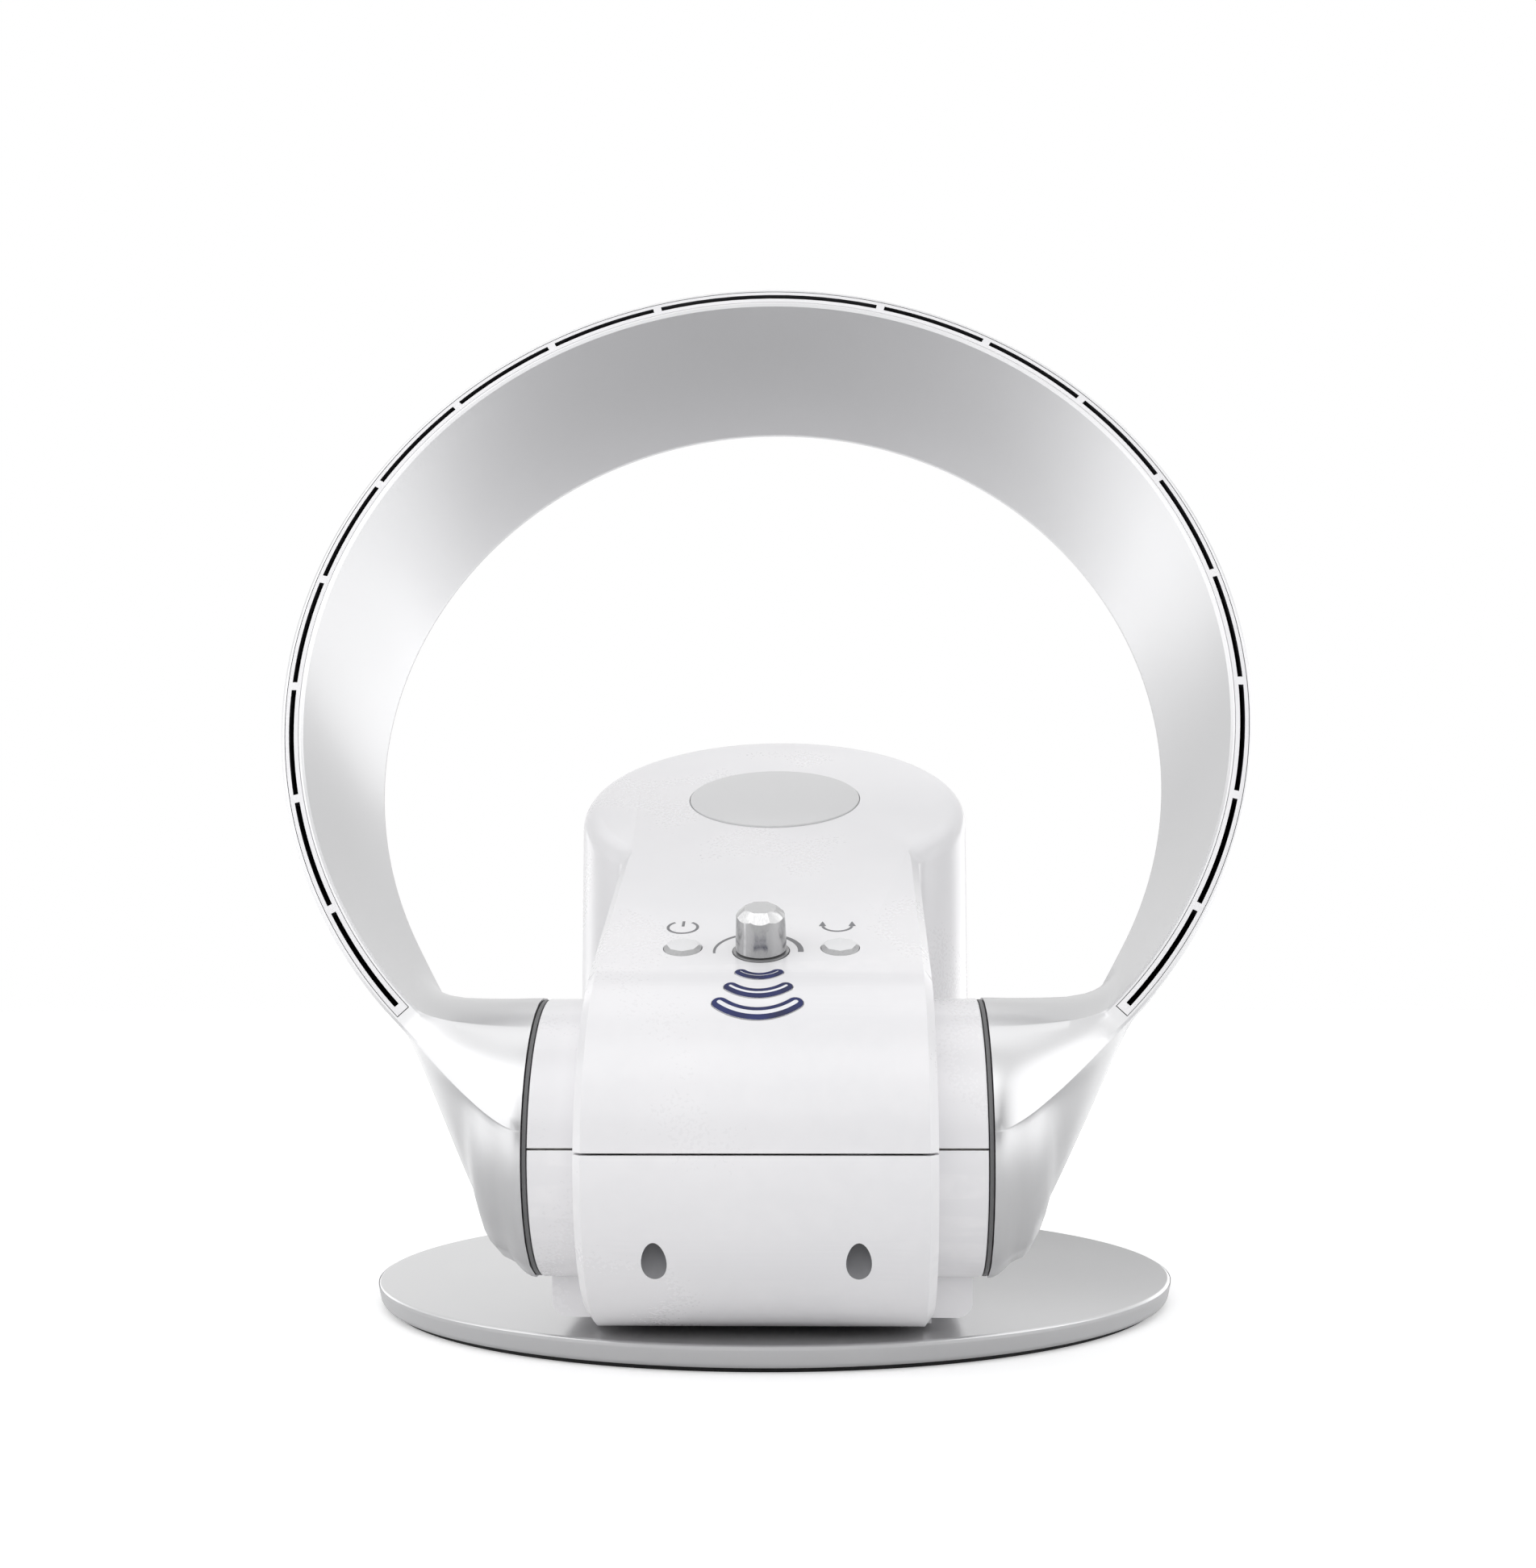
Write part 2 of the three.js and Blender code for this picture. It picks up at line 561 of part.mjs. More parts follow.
// ---- Upper shell ----
function upperShell() {
  const outer = joined(
    drumForm(0, slope),
    rearForm(0, housingBottom, creaseY(0)),
    trunnionForm(TRUNNION_RADIUS, TRUNNION_HALF_SPAN),
  ).intersect(above(seamUpper));
  const cavity = joined(
    drumForm(HOUSING_WALL, slope),
    rearForm(HOUSING_WALL, housingBottom, creaseY(HOUSING_WALL)),
    trunnionForm(TEE_RADIUS + SEAT_GAP, TRUNNION_HALF_SPAN + LAP),
  );
  const half = HOUSING_WALL / 2;
  const inside = joined(drumForm(half, slope), rearForm(half, housingBottom, creaseY(half)));
  const screws = [...frontScrews, ...rearScrews];
  const bosses = [
    ...frontScrews.map((place) => bar(place, BOSS_RADIUS, seamUpper, HUB_HEIGHT + DRUM_RADIUS)),
    ...rearScrews.map((place) => bar(place, BOSS_RADIUS, seamUpper, seamUpper + REAR_BOSS_RISE)),
  ];
  const pilotTop = seamUpper + SCREW_LENGTH / 2;
  const pilots = screws.map((place) => bar(place, screwHole, seamUpper - LAP, pilotTop, TINY_ROUND));
  const past = DRUM_RADIUS + OVERRUN;
  const badgeFloor = DRUM_RADIUS - BADGE_THICKNESS + BADGE_PROUD - SEAT_GAP;
  const shaftHole = round(SHAFT_RADIUS + 2 * SEAT_GAP, 0, past, 0, SMALL_ROUND);
  const collarSeat = round(COLLAR_RADIUS + SEAT_GAP, DRUM_RADIUS - COLLAR_SINK - SEAT_GAP, past);
  const badgeSeat = round(BADGE_RADIUS + SEAT_GAP, badgeFloor, past, 0, LARGE_ROUND);
  const panelHoles = [
    shaftHole.translate(0, KNOB_UPSLOPE, 0),
    collarSeat.translate(0, KNOB_UPSLOPE, 0),
    badgeSeat.translate(0, BADGE_UPSLOPE, 0),
    ...[-1, 1].map((side) => {
      const hole = round(BUTTON_RADIUS + SEAT_GAP, DRUM_RADIUS - 2 * HOUSING_WALL, past, 0, SMALL_ROUND);
      return hole.translate(side * BUTTON_SPACING, BUTTON_UPSLOPE, 0);
    }),
  ].map((hole) => solid(atPanel(hole)));
  const pocketFloor = DRUM_RADIUS - LENS_THICKNESS + LENS_PROUD - SEAT_GAP;
  const pockets = WINDOWS.map((spec) => windowForm(spec, SEAT_GAP, pocketFloor, past));
  const grilleOpening = grilleSector(0, HOUSING_RADIUS - 2 * OVERRUN, HOUSING_RADIUS + OVERRUN);
  const walls = without(outer, cavity);
  const posts = without(joined(...bosses).intersect(inside), ...pilots);
  return without(walls.add(posts), ...panelHoles, ...pockets, grilleOpening);
}

// ---- Lower shell ----
function counterbore(place, seat) {
  const head = bar(place, SCREW_BORE_RADIUS, housingBottom - OVERRUN, seat);
  const shank = bar(place, screwHole, seat - LAP, seamLower + LAP, TINY_ROUND);
  return head.add(shank);
}

const frontSeat = seamLower - SCREW_HEAD_DROP;
const rearSeat = housingFloor + SCREW_HEAD_HEIGHT + 2 * SEAT_GAP;
const swingMotorBottom = gearBottom + GEAR_FACE + SWING_MOTOR_LIFT;
const scrollPosts = [[33, -19], [-33, -19], [-30, 24]];
const motorPosts = [-1, 1].map((side) => [side * SWING_MOTOR_EAR_REACH, pinionDistance]);
const boardPostX = DRIVER_BOARD_HALF_WIDTH - BOARD_POST_INSET;
const boardPosts = [-1, 1].map((side) => [side * boardPostX, -HUB_FORWARD / 2]);

function lowerShell() {
  const outer = joined(
    drumForm(0, 0),
    rearForm(0, housingBottom, hubY),
    sillForm(0),
    trunnionForm(TRUNNION_RADIUS, TRUNNION_HALF_SPAN),
  ).intersect(below(seamLower));
  const hollow = joined(
    drumForm(HOUSING_WALL, 0),
    rearForm(HOUSING_WALL, housingFloor, hubY),
    sillForm(HOUSING_WALL),
  );
  const passage = trunnionForm(TEE_RADIUS + SEAT_GAP, TRUNNION_HALF_SPAN + LAP);
  const inside = joined(drumForm(HOUSING_WALL / 2, 0), rearForm(HOUSING_WALL / 2, housingBottom, hubY));
  const post = (top) => (place) => bar(place, POST_RADIUS, housingFloor - LAP, top - SEAT_GAP, TINY_ROUND);
  const posts = [
    ...[...frontScrews, ...rearScrews].map((place) => bar(place, BOSS_RADIUS, housingBottom, seamLower)),
    ...scrollPosts.map(post(scrollFloor - SCROLL_WALL)),
    ...motorPosts.map(post(swingMotorBottom)),
    ...boardPosts.map(post(housingFloor + DRIVER_BOARD_LIFT)),
  ];
  const bores = [
    ...frontScrews.map((place) => counterbore(place, frontSeat)),
    ...rearScrews.map((place) => counterbore(place, rearSeat)),
  ];
  const postHole = solid(round(GEAR_POST_RADIUS + 2 * SEAT_GAP, housingBottom - OVERRUN, housingFloor + LAP));
  const inletBore = bar([0, 0], INLET_RADIUS + SEAT_GAP, HOUSING_RADIUS / 2, HOUSING_RADIUS + OVERRUN);
  const inletHole = inletBore.rotate([-90, 0, 0]).translate([0, 0, INLET_HEIGHT]);
  const walls = without(outer, hollow, passage);
  const inner = joined(...posts).intersect(inside).subtract(passage);
  return without(walls.add(inner), ...bores, postHole, inletHole);
}

// ---- Intake grille ----
function grilleSector(clearance, innerRadius, outerRadius) {
  const half = rad(GRILLE_HALF_ANGLE) - clearance / HOUSING_RADIUS;
  const shape = new THREE.Shape();
  shape.absarc(0, 0, outerRadius, Math.PI / 2 - half, Math.PI / 2 + half, false);
  shape.absarc(0, 0, innerRadius, Math.PI / 2 + half, Math.PI / 2 - half, true);
  const height = GRILLE_HEIGHT - 2 * clearance;
  const sector = new THREE.ExtrudeGeometry(shape, { depth: height, bevelEnabled: false, curveSegments: 10 });
  return solid(sector.translate(0, 0, GRILLE_SILL_HEIGHT + clearance));
}

function intakeGrille() {
  const panel = grilleSector(SEAT_GAP, HOUSING_RADIUS - GRILLE_THICKNESS, HOUSING_RADIUS);
  const rowHeight = (GRILLE_HEIGHT - GRILLE_BAND * (GRILLE_ROWS + 1)) / GRILLE_ROWS;
  const pitch = GRILLE_SLOT_PITCH / HOUSING_RADIUS;
  const slots = [];
  for (let row = 0; row < GRILLE_ROWS; row += 1) {
    const bottom = GRILLE_SILL_HEIGHT + GRILLE_BAND + row * (rowHeight + GRILLE_BAND);
    for (let column = 0; column < grilleColumns; column += 1) {
      const angle = (column - (grilleColumns - 1) / 2) * pitch;
      const slot = block(
        -GRILLE_SLOT_WIDTH / 2,
        GRILLE_SLOT_WIDTH / 2,
        HOUSING_RADIUS - 2 * OVERRUN,
        HOUSING_RADIUS + OVERRUN,
        bottom,
        bottom + rowHeight,
      );
      slots.push(solid(slot.rotateZ(angle)));
    }
  }
  return without(panel, joined(...slots));
}

// ---- Air ring and legs, in a frame that stands on the hub axis and leans with the ring ----
/** Stations round the channel: t runs front to rear on each wall, gamma is the angle on the hub disc. */
function channelStations() {
  const stations = [];
  const wallSteps = 4;
  for (let i = 0; i <= wallSteps; i += 1) {
    const t = i / wallSteps;
    stations.push({ wall: 'inner', t, gamma: HUB_TURN_START + HUB_INNER_TURN * t });
  }
  stations.push({ wall: 'lip', t: 1, gamma: hubTurns.innerEnd + HUB_REAR_TURN / 2 });
  for (let i = 0; i <= wallSteps; i += 1) {
    const t = 1 - i / wallSteps;
    stations.push({ wall: 'outer', t, gamma: THREE.MathUtils.lerp(hubTurns.outerEnd, hubTurns.outerStart, t) });
  }
  stations.push({ wall: 'rimOuter', t: 0, gamma: hubTurns.outerEnd + HUB_FRONT_TURN / 4 });
  stations.push({ wall: 'rimInner', t: 0, gamma: hubTurns.outerEnd + (HUB_FRONT_TURN * 3) / 4 });
  return stations;
}

/** Radius and depth of a station on the outer skin (wall 0) or on the channel inside it (wall 1). */
function channelPoint({ wall, t }, inside) {
  const thickness = inside * THREE.MathUtils.lerp(RING_FRONT_WALL, RING_REAR_WALL, t);
  const inner = THREE.MathUtils.lerp(RING_FRONT_INNER, RING_REAR_INNER, t) + thickness;
  const outer = RING_FRONT_OUTER - (RING_FRONT_OUTER - RING_REAR_OUTER) * t * t - thickness;
  const frontY = -RING_FRONT_FACE + inside * RING_FRONT_WALL;
  const rearY = -RING_FRONT_FACE + RING_DEPTH - inside * RING_REAR_WALL;
  const edge = RING_EDGE_ROUND * (1 - inside);
  const lip = (outer - inner) / 3;
  const y = THREE.MathUtils.lerp(frontY + edge, rearY - lip, t);
  if (wall === 'inner') return [inner, y];
  if (wall === 'outer') return [outer, y];
  if (wall === 'lip') return [(inner + outer) / 2, rearY];
  return [wall === 'rimInner' ? inner + edge : outer - edge, frontY];
}

const legStart = (y) =>
  rad(THREE.MathUtils.lerp(LEG_START_FRONT, LEG_START_REAR, (y + RING_FRONT_FACE) / RING_DEPTH));

function ringPoint(r, y, angle) {
  return point(r * Math.sin(angle), y, RING_CENTRE_RISE + r * Math.cos(angle));
}

/** How hard a leg curve leaves the ring and meets the hub, for each way round the hub disc. */
function legPull(gamma) {
  const height = Math.sin(rad(gamma));
  const between = ({ top, side, bottom }) => side + ((height > 0 ? top : bottom) - side) * Math.abs(height);
  return { ring: between(LEG_RING_PULL), hub: between(LEG_HUB_PULL) };
}

/** One station's curve from the ring down to the hub disc, right-hand side. */
function legPoint(station, inside, along) {
  const [r, y] = channelPoint(station, inside);
  const angle = legStart(y);
  const start = ringPoint(r, y, angle);
  const startPull = point(Math.cos(angle), 0, -Math.sin(angle));
  const hubRadius = inside ? sleeveRadius + SEAT_GAP : HUB_DISC_RADIUS;
  const gamma = rad(station.gamma);
  const end = point(hubFace, -hubRadius * Math.cos(gamma), hubRadius * Math.sin(gamma));
  const pull = legPull(station.gamma);
  const [t, t2, t3] = [along, along ** 2, along ** 3];
  return point(0, 0, 0)
    .addScaledVector(start, 2 * t3 - 3 * t2 + 1)
    .addScaledVector(startPull, (t3 - 2 * t2 + t) * pull.ring)
    .addScaledVector(end, 3 * t2 - 2 * t3)
    .addScaledVector(point(-1, 0, 0), (t3 - t2) * pull.hub);
}

function channelRings(inside) {
  const stations = channelStations();
  const rings = [];
  const mirror = (p) => point(-p.x, p.y, p.z);
  for (let k = LEG_STEPS; k >= 0; k -= 1) {
    rings.push(stations.map((station) => mirror(legPoint(station, inside, k / LEG_STEPS))));
  }
  for (let k = 0; k <= RING_STEPS; k += 1) {
    const share = (2 * k) / RING_STEPS - 1;
    rings.push(stations.map((station) => {
      const [r, y] = channelPoint(station, inside);
      return ringPoint(r, y, share * rad(LEG_START_REAR));
    }));
  }
  for (let k = 0; k <= LEG_STEPS; k += 1) {
    rings.push(stations.map((station) => legPoint(station, inside, k / LEG_STEPS)));
  }
  return rings;
}

const rimMiddle = (RING_FRONT_INNER + RING_FRONT_OUTER) / 2;
const mouthHalfWidth = (RING_FRONT_OUTER - RING_FRONT_INNER) / 2 - RING_FRONT_WALL - RIM_LEDGE;

/** A strip that follows the ring's front face. */
function rimStrip(middle, halfWidth, front, rear, halfAngle, steps) {
  const shape = new THREE.Shape();
  shape.absarc(0, 0, middle + halfWidth, Math.PI / 2 - halfAngle, Math.PI / 2 + halfAngle, false);
  shape.absarc(0, 0, middle - halfWidth, Math.PI / 2 + halfAngle, Math.PI / 2 - halfAngle, true);
  const depth = rear - front;
  const strip = new THREE.ExtrudeGeometry(shape, { depth, bevelEnabled: false, curveSegments: steps });
  return solid(strip.rotateX(-Math.PI / 2).scale(1, 1, -1).translate(0, front, RING_CENTRE_RISE));
}

const slotBridge = SLOT_BRIDGE / SLOT_CIRCLE_RADIUS;
const slotPitch = (rad(RIM_HALF_ANGLE) - slotBridge / 2) / (SLOTS_PER_SIDE + 1);
const rimSteps = Math.round((RING_STEPS * RIM_HALF_ANGLE) / LEG_START_REAR);

function nozzleShell() {
  const body = solid(tubeWall(channelRings(0), channelRings(1)));
  const seat = -RING_FRONT_FACE + RIM_THICKNESS + SEAT_GAP;
  const mouthAngle = rad(RIM_HALF_ANGLE) + SEAT_GAP / SLOT_CIRCLE_RADIUS;
  const mouth = rimStrip(rimMiddle, mouthHalfWidth, -RING_FRONT_FACE - OVERRUN, seat, mouthAngle, rimSteps);
  const boreDepth = SLEEVE_REACH_OUT + SEAT_GAP;
  const bores = [-hubFace - boreDepth, hubFace - LAP].map((from) =>
    solid(alongX(round(sleeveRadius + SEAT_GAP, from, from + boreDepth + LAP))));
  return without(body, mouth, ...bores);
}

function nozzleRim() {
  const [front, rear] = [-RING_FRONT_FACE, -RING_FRONT_FACE + RIM_THICKNESS];
  const halfWidth = mouthHalfWidth - SEAT_GAP / 2;
  const strip = rimStrip(rimMiddle, halfWidth, front, rear, rad(RIM_HALF_ANGLE), rimSteps);
  const slots = [];
  for (let k = -SLOTS_PER_SIDE; k <= SLOTS_PER_SIDE; k += 1) {
    const middle = THREE.MathUtils.radToDeg(Math.sign(k) * (Math.abs(k) + 0.5) * slotPitch);
    const halfAngle = (k === 0 ? 1 : 0.5) * slotPitch - slotBridge / 2;
    const steps = k === 0 ? 4 : 1;
    const slot = rimStrip(SLOT_CIRCLE_RADIUS, SLOT_WIDTH / 2, front - LAP, rear + LAP, halfAngle, steps);
    const aboutCentre = slot.translate([0, 0, -RING_CENTRE_RISE]);
    slots.push(aboutCentre.rotate([0, middle, 0]).translate([0, 0, RING_CENTRE_RISE]));
  }
  return without(strip, ...slots);
}

/** Thin tube that carries air and turns in the tee, with a snap lip on its inner end. */
function pivotSleeve(side) {
  const outerEnd = hubFace + SLEEVE_REACH_OUT;
  const innerEnd = TRUNNION_HALF_SPAN - SLEEVE_REACH_IN;
  const [r, bore] = [sleeveRadius, sleeveRadius - SLEEVE_WALL];
  const lipEnd = innerEnd + SLEEVE_LIP_LENGTH;
  const profile = [
    [bore, innerEnd],
    [r + SLEEVE_LIP - SLEEVE_LIP_LEAD, innerEnd],
    [r + SLEEVE_LIP, innerEnd + SLEEVE_LIP_LEAD],
    [r + SLEEVE_LIP, lipEnd],
    [r, lipEnd],
    [r, outerEnd],
    [bore, outerEnd],
    [bore, innerEnd],
  ].map(([radius, x]) => [radius, side * x]);
  return alongX(turned(profile));
}

// ---- Air tee and blower ----
const outletOuterX = -SCROLL_END_RADIUS;
const outletInnerX = SCROLL_TONGUE_RADIUS * Math.cos(rad(SCROLL_TONGUE_ANGLE));

function airTee() {
  const span = TRUNNION_HALF_SPAN - SEAT_GAP;
  const barrel = trunnionForm(TEE_RADIUS, span);
  const bore = trunnionForm(teeBore, span + LAP);
  const grooveEnd = TRUNNION_HALF_SPAN - SLEEVE_REACH_IN + SLEEVE_LIP_LENGTH + SEAT_GAP;
  const groove = trunnionForm(sleeveRadius + SLEEVE_LIP + SEAT_GAP, grooveEnd);
  const gap = SEAT_GAP;
  const collarBox = (sink, from, over = 0) => solid(block(
    outletOuterX + gap + sink,
    outletInnerX - gap - sink,
    from,
    -OUTLET_REACH + COLLAR_ENGAGEMENT + over,
    scrollFloor + gap + sink,
    scrollTop - gap - sink,
  ));
  const front = hubY + TEE_RADIUS / 2;
  const collar = collarBox(0, front);
  const channel = collarBox(TEE_COLLAR_WALL, front - LAP, LAP);
  return without(joined(barrel, collar), bore, groove, channel);
}

/** Spiral outline of the scroll with a straight outlet to the front, grown by its wall. */
function scrollOutline(grow, reach) {
  const outline = [];
  const spiralSteps = 16;
  for (let i = 0; i <= spiralSteps; i += 1) {
    const share = i / spiralSteps;
    const angle = rad(THREE.MathUtils.lerp(SCROLL_TONGUE_ANGLE, 180, share));
    const r = THREE.MathUtils.lerp(SCROLL_TONGUE_RADIUS, SCROLL_END_RADIUS, share) + grow;
    outline.push([r * Math.cos(angle), r * Math.sin(angle)]);
  }
  outline.push([outletOuterX - grow, -reach]);
  outline.push([outletInnerX + grow, -reach]);
  return outline;
}

function scrollCase() {
  const body = solid(raised(scrollOutline(SCROLL_WALL, OUTLET_REACH), scrollFloor - SCROLL_WALL, scrollTop));
  const hollow = solid(raised(scrollOutline(0, OUTLET_REACH + OVERRUN), scrollFloor, scrollTop + OVERRUN));
  return body.subtract(hollow);
}

function scrollCover() {
  const bottom = scrollTop + SEAT_GAP;
  const top = bottom + SCROLL_WALL;
  const plate = solid(raised(scrollOutline(SCROLL_WALL, OUTLET_REACH), bottom, top));
  const eye = IMPELLER_EYE_RADIUS - MOUTH_OVERHANG;
  const lipBottom = impellerBottom + IMPELLER_HEIGHT + MOUTH_OVERHANG;
  const mouth = turned([
    [eye, lipBottom],
    [eye + SCROLL_MOUTH_WALL, lipBottom],
    [eye + SCROLL_MOUTH_WALL, bottom - LAP],
    [eye + SCROLL_MOUTH_FLARE, top],
    [eye + SCROLL_MOUTH_FLARE - SCROLL_WALL, top],
    [eye, bottom - LAP / 2],
    [eye, lipBottom],
  ]);
  return plate.subtract(solid(round(eye + SCROLL_MOUTH_WALL / 2, bottom - LAP, top + LAP))).add(solid(mouth));
}

const motorBottom = scrollFloor + CUSHION_THICKNESS + 2 * SEAT_GAP;
const motorTop = motorBottom + MOTOR_HEIGHT - MOTOR_CUP_GAP;
const impellerBottom = scrollFloor + IMPELLER_LIFT;
const cupBore = MOTOR_RADIUS + MOTOR_CUP_GAP;

/** Centrifugal wheel: back plate, motor cup, swept-back blades and a front ring. */
function impeller() {
  const cupTop = motorBottom + MOTOR_HEIGHT + SEAT_GAP + MOTOR_CUP_WALL;
  const cupRadius = cupBore + MOTOR_CUP_WALL;
  const hole = MOTOR_SHAFT_RADIUS + SEAT_GAP;
  const wheelTop = impellerBottom + IMPELLER_HEIGHT;
  const cup = turned([
    [cupBore, impellerBottom],
    [IMPELLER_RADIUS, impellerBottom],
    [IMPELLER_RADIUS, impellerBottom + IMPELLER_PLATE],
    [cupRadius, impellerBottom + IMPELLER_PLATE],
    [cupRadius - MOTOR_CUP_WALL, cupTop],
    [hole, cupTop],
    [hole, cupTop - MOTOR_CUP_WALL],
    [cupBore, cupTop - MOTOR_CUP_WALL],
    [cupBore, impellerBottom],
  ]);
  const ring = round(IMPELLER_RADIUS, wheelTop - IMPELLER_PLATE, wheelTop, IMPELLER_EYE_RADIUS);
  const blade = [];
  const bladeSteps = 2;
  for (const side of [1, -1]) {
    for (let i = 0; i <= bladeSteps; i += 1) {
      const share = side > 0 ? i / bladeSteps : 1 - i / bladeSteps;
      const r = THREE.MathUtils.lerp(cupRadius - LAP, IMPELLER_RADIUS - SEAT_GAP, share);
      const angle = rad(-BLADE_SWEEP) * share + (side * BLADE_THICKNESS) / 2 / r;
      blade.push([r * Math.cos(angle), r * Math.sin(angle)]);
    }
  }
  const blades = [];
  for (let k = 0; k < IMPELLER_BLADES; k += 1) {
    const turn = (k / IMPELLER_BLADES) * 2 * Math.PI;
    blades.push(solid(raised(blade.toReversed(), impellerBottom + LAP, wheelTop - LAP).rotateZ(turn)));
  }
  const eye = turned([
    [0, cupTop + LAP],
    [cupBore, cupTop + LAP],
    [IMPELLER_EYE_RADIUS, wheelTop - IMPELLER_PLATE],
    [IMPELLER_EYE_RADIUS, wheelTop + LAP],
    [0, wheelTop + LAP],
  ]);
  return joined(joined(...blades).subtract(solid(eye)), solid(cup), solid(ring));
}

// ---- Swing drive ----
/** Involute gear outline; teeth outside the toothed sector are left as a plain rim. */
function gearOutline(teeth, phase, toothed = () => true) {
  const pitchRadius = (GEAR_MODULE * teeth) / 2;
  const baseRadius = pitchRadius * Math.cos(rad(PRESSURE_ANGLE));
  const tip = pitchRadius + GEAR_MODULE * 0.95;
  const root = pitchRadius - GEAR_MODULE * 1.2;
  const involute = (r) => {
    const cosine = Math.min(1, baseRadius / r);
    return Math.tan(Math.acos(cosine)) - Math.acos(cosine);
  };
  const halfTooth = (Math.PI / teeth / 2) - GEAR_BACKLASH / 4 / pitchRadius;
  const radii = [Math.max(root, baseRadius), tip];
  const outline = [];
  for (let k = 0; k < teeth; k += 1) {
    const centre = phase + (k * 2 * Math.PI) / teeth;
    const gapAngle = centre - Math.PI / teeth;
    outline.push([root * Math.cos(gapAngle), root * Math.sin(gapAngle)]);
    if (!toothed(centre)) continue;
    const flank = radii.map((r) => [r, halfTooth + involute(pitchRadius) - involute(r)]);
    outline.push([root * Math.cos(centre - flank[0][1]), root * Math.sin(centre - flank[0][1])]);
    const atFlank = (r, angle) => [r * Math.cos(angle), r * Math.sin(angle)];
    outline.push(...flank.map(([r, a]) => atFlank(r, centre - a)));
    outline.push(...flank.toReversed().map(([r, a]) => atFlank(r, centre + a)));
    outline.push([root * Math.cos(centre + flank[0][1]), root * Math.sin(centre + flank[0][1])]);
  }
  return outline;
}

const baseScrewPlaces = Array.from({ length: BASE_SCREWS }, (_, k) => {
  const angle = Math.PI / 6 + (k * 2 * Math.PI) / BASE_SCREWS;
  return [BASE_SCREW_CIRCLE * Math.cos(angle), BASE_SCREW_CIRCLE * Math.sin(angle)];
});

/** Fixed gear on its post: the housing turns round the post and is held down by the gear's rim. */
function swingGear() {
  const sector = rad(GEAR_HALF_SECTOR);
  const facesPinion = (angle) => Math.abs(Math.atan2(Math.cos(angle), Math.sin(angle))) < sector;
  const outline = gearOutline(GEAR_TEETH, Math.PI / 2, facesPinion);
  const rim = solid(raised(outline, gearBottom, gearBottom + GEAR_FACE));
  const post = solid(round(GEAR_POST_RADIUS, baseTop + SEAT_GAP, gearBottom + LAP));
  const [from, to] = [baseTop - LAP, gearBottom + GEAR_FACE + LAP];
  const holes = baseScrewPlaces.map((place) => bar(place, screwHole, from, to, TINY_ROUND));
  const wireWay = bar([0, 0], WIRE_WAY_RADIUS, from, to);
  return without(rim.add(post), ...holes, wireWay);
}

function swingPinion() {
  const phase = -Math.PI / 2 + Math.PI / PINION_TEETH;
  const body = solid(raised(gearOutline(PINION_TEETH, phase), gearBottom, gearBottom + GEAR_FACE));
  return body.subtract(bar([0, 0], PINION_BORE_RADIUS, gearBottom - LAP, gearBottom + GEAR_FACE + LAP));
}

const pinionShaftTop = swingMotorBottom + SWING_MOTOR_HEIGHT * 0.6;

/** Geared motor with two ears and a blind bore for its output shaft. */
function swingMotor() {
  const bottom = swingMotorBottom;
  const can = solid(round(SWING_MOTOR_RADIUS, bottom, bottom + SWING_MOTOR_HEIGHT));
  const [end, side] = [SWING_MOTOR_EAR_REACH + SWING_MOTOR_EAR_RADIUS, SWING_MOTOR_EAR_RADIUS];
  const ears = solid(block(-end, end, -side, side, bottom, bottom + SWING_MOTOR_EAR));
  const bore = bar([0, 0], PINION_BORE_RADIUS, bottom - LAP, pinionShaftTop + SEAT_GAP);
  return joined(can, ears).subtract(bore);
}

const pinionShaft = () => round(PINION_BORE_RADIUS - SEAT_GAP, gearBottom, pinionShaftTop, 0, SMALL_ROUND);

// ---- Small parts ----
function screw(length) {
  return turned([
    [0, 0],
    [SCREW_HEAD_RADIUS - SCREW_HEAD_EDGE, 0],
    [SCREW_HEAD_RADIUS, SCREW_HEAD_EDGE],
    [SCREW_HEAD_RADIUS, SCREW_HEAD_HEIGHT],
    [SCREW_SHANK_RADIUS, SCREW_HEAD_HEIGHT],
    [SCREW_SHANK_RADIUS, length - SCREW_SHANK_RADIUS],
    [0, length],
  ], TINY_ROUND);
}

/** Knob with a slight taper and eight flats round its bevelled top. */
function speedKnob() {
  const bottom = DRUM_RADIUS + COLLAR_HEIGHT - COLLAR_SINK + SEAT_GAP;
  const top = bottom + KNOB_HEIGHT;
  const body = solid(turned([
    [0, bottom],
    [KNOB_RADIUS, bottom],
    [KNOB_RADIUS - KNOB_TAPER, top],
    [0, top],
  ], MEDIUM_ROUND));
  const flats = 8;
  const crown = new THREE.CylinderGeometry(
    (KNOB_RADIUS - KNOB_CHAMFER) / Math.cos(Math.PI / flats),
    (KNOB_RADIUS + KNOB_HEIGHT - KNOB_CHAMFER) / Math.cos(Math.PI / flats),
    KNOB_HEIGHT,
    flats,
  ).rotateX(Math.PI / 2).rotateZ(Math.PI / flats).translate(0, 0, top - KNOB_HEIGHT / 2);
  const bore = bar([0, 0], SHAFT_RADIUS + SEAT_GAP, bottom - LAP, bottom + KNOB_BORE_DEPTH);
  return body.intersect(solid(crown)).subtract(bore);
}

const boardTop = DRUM_RADIUS - BOARD_DEPTH_BELOW_PANEL;

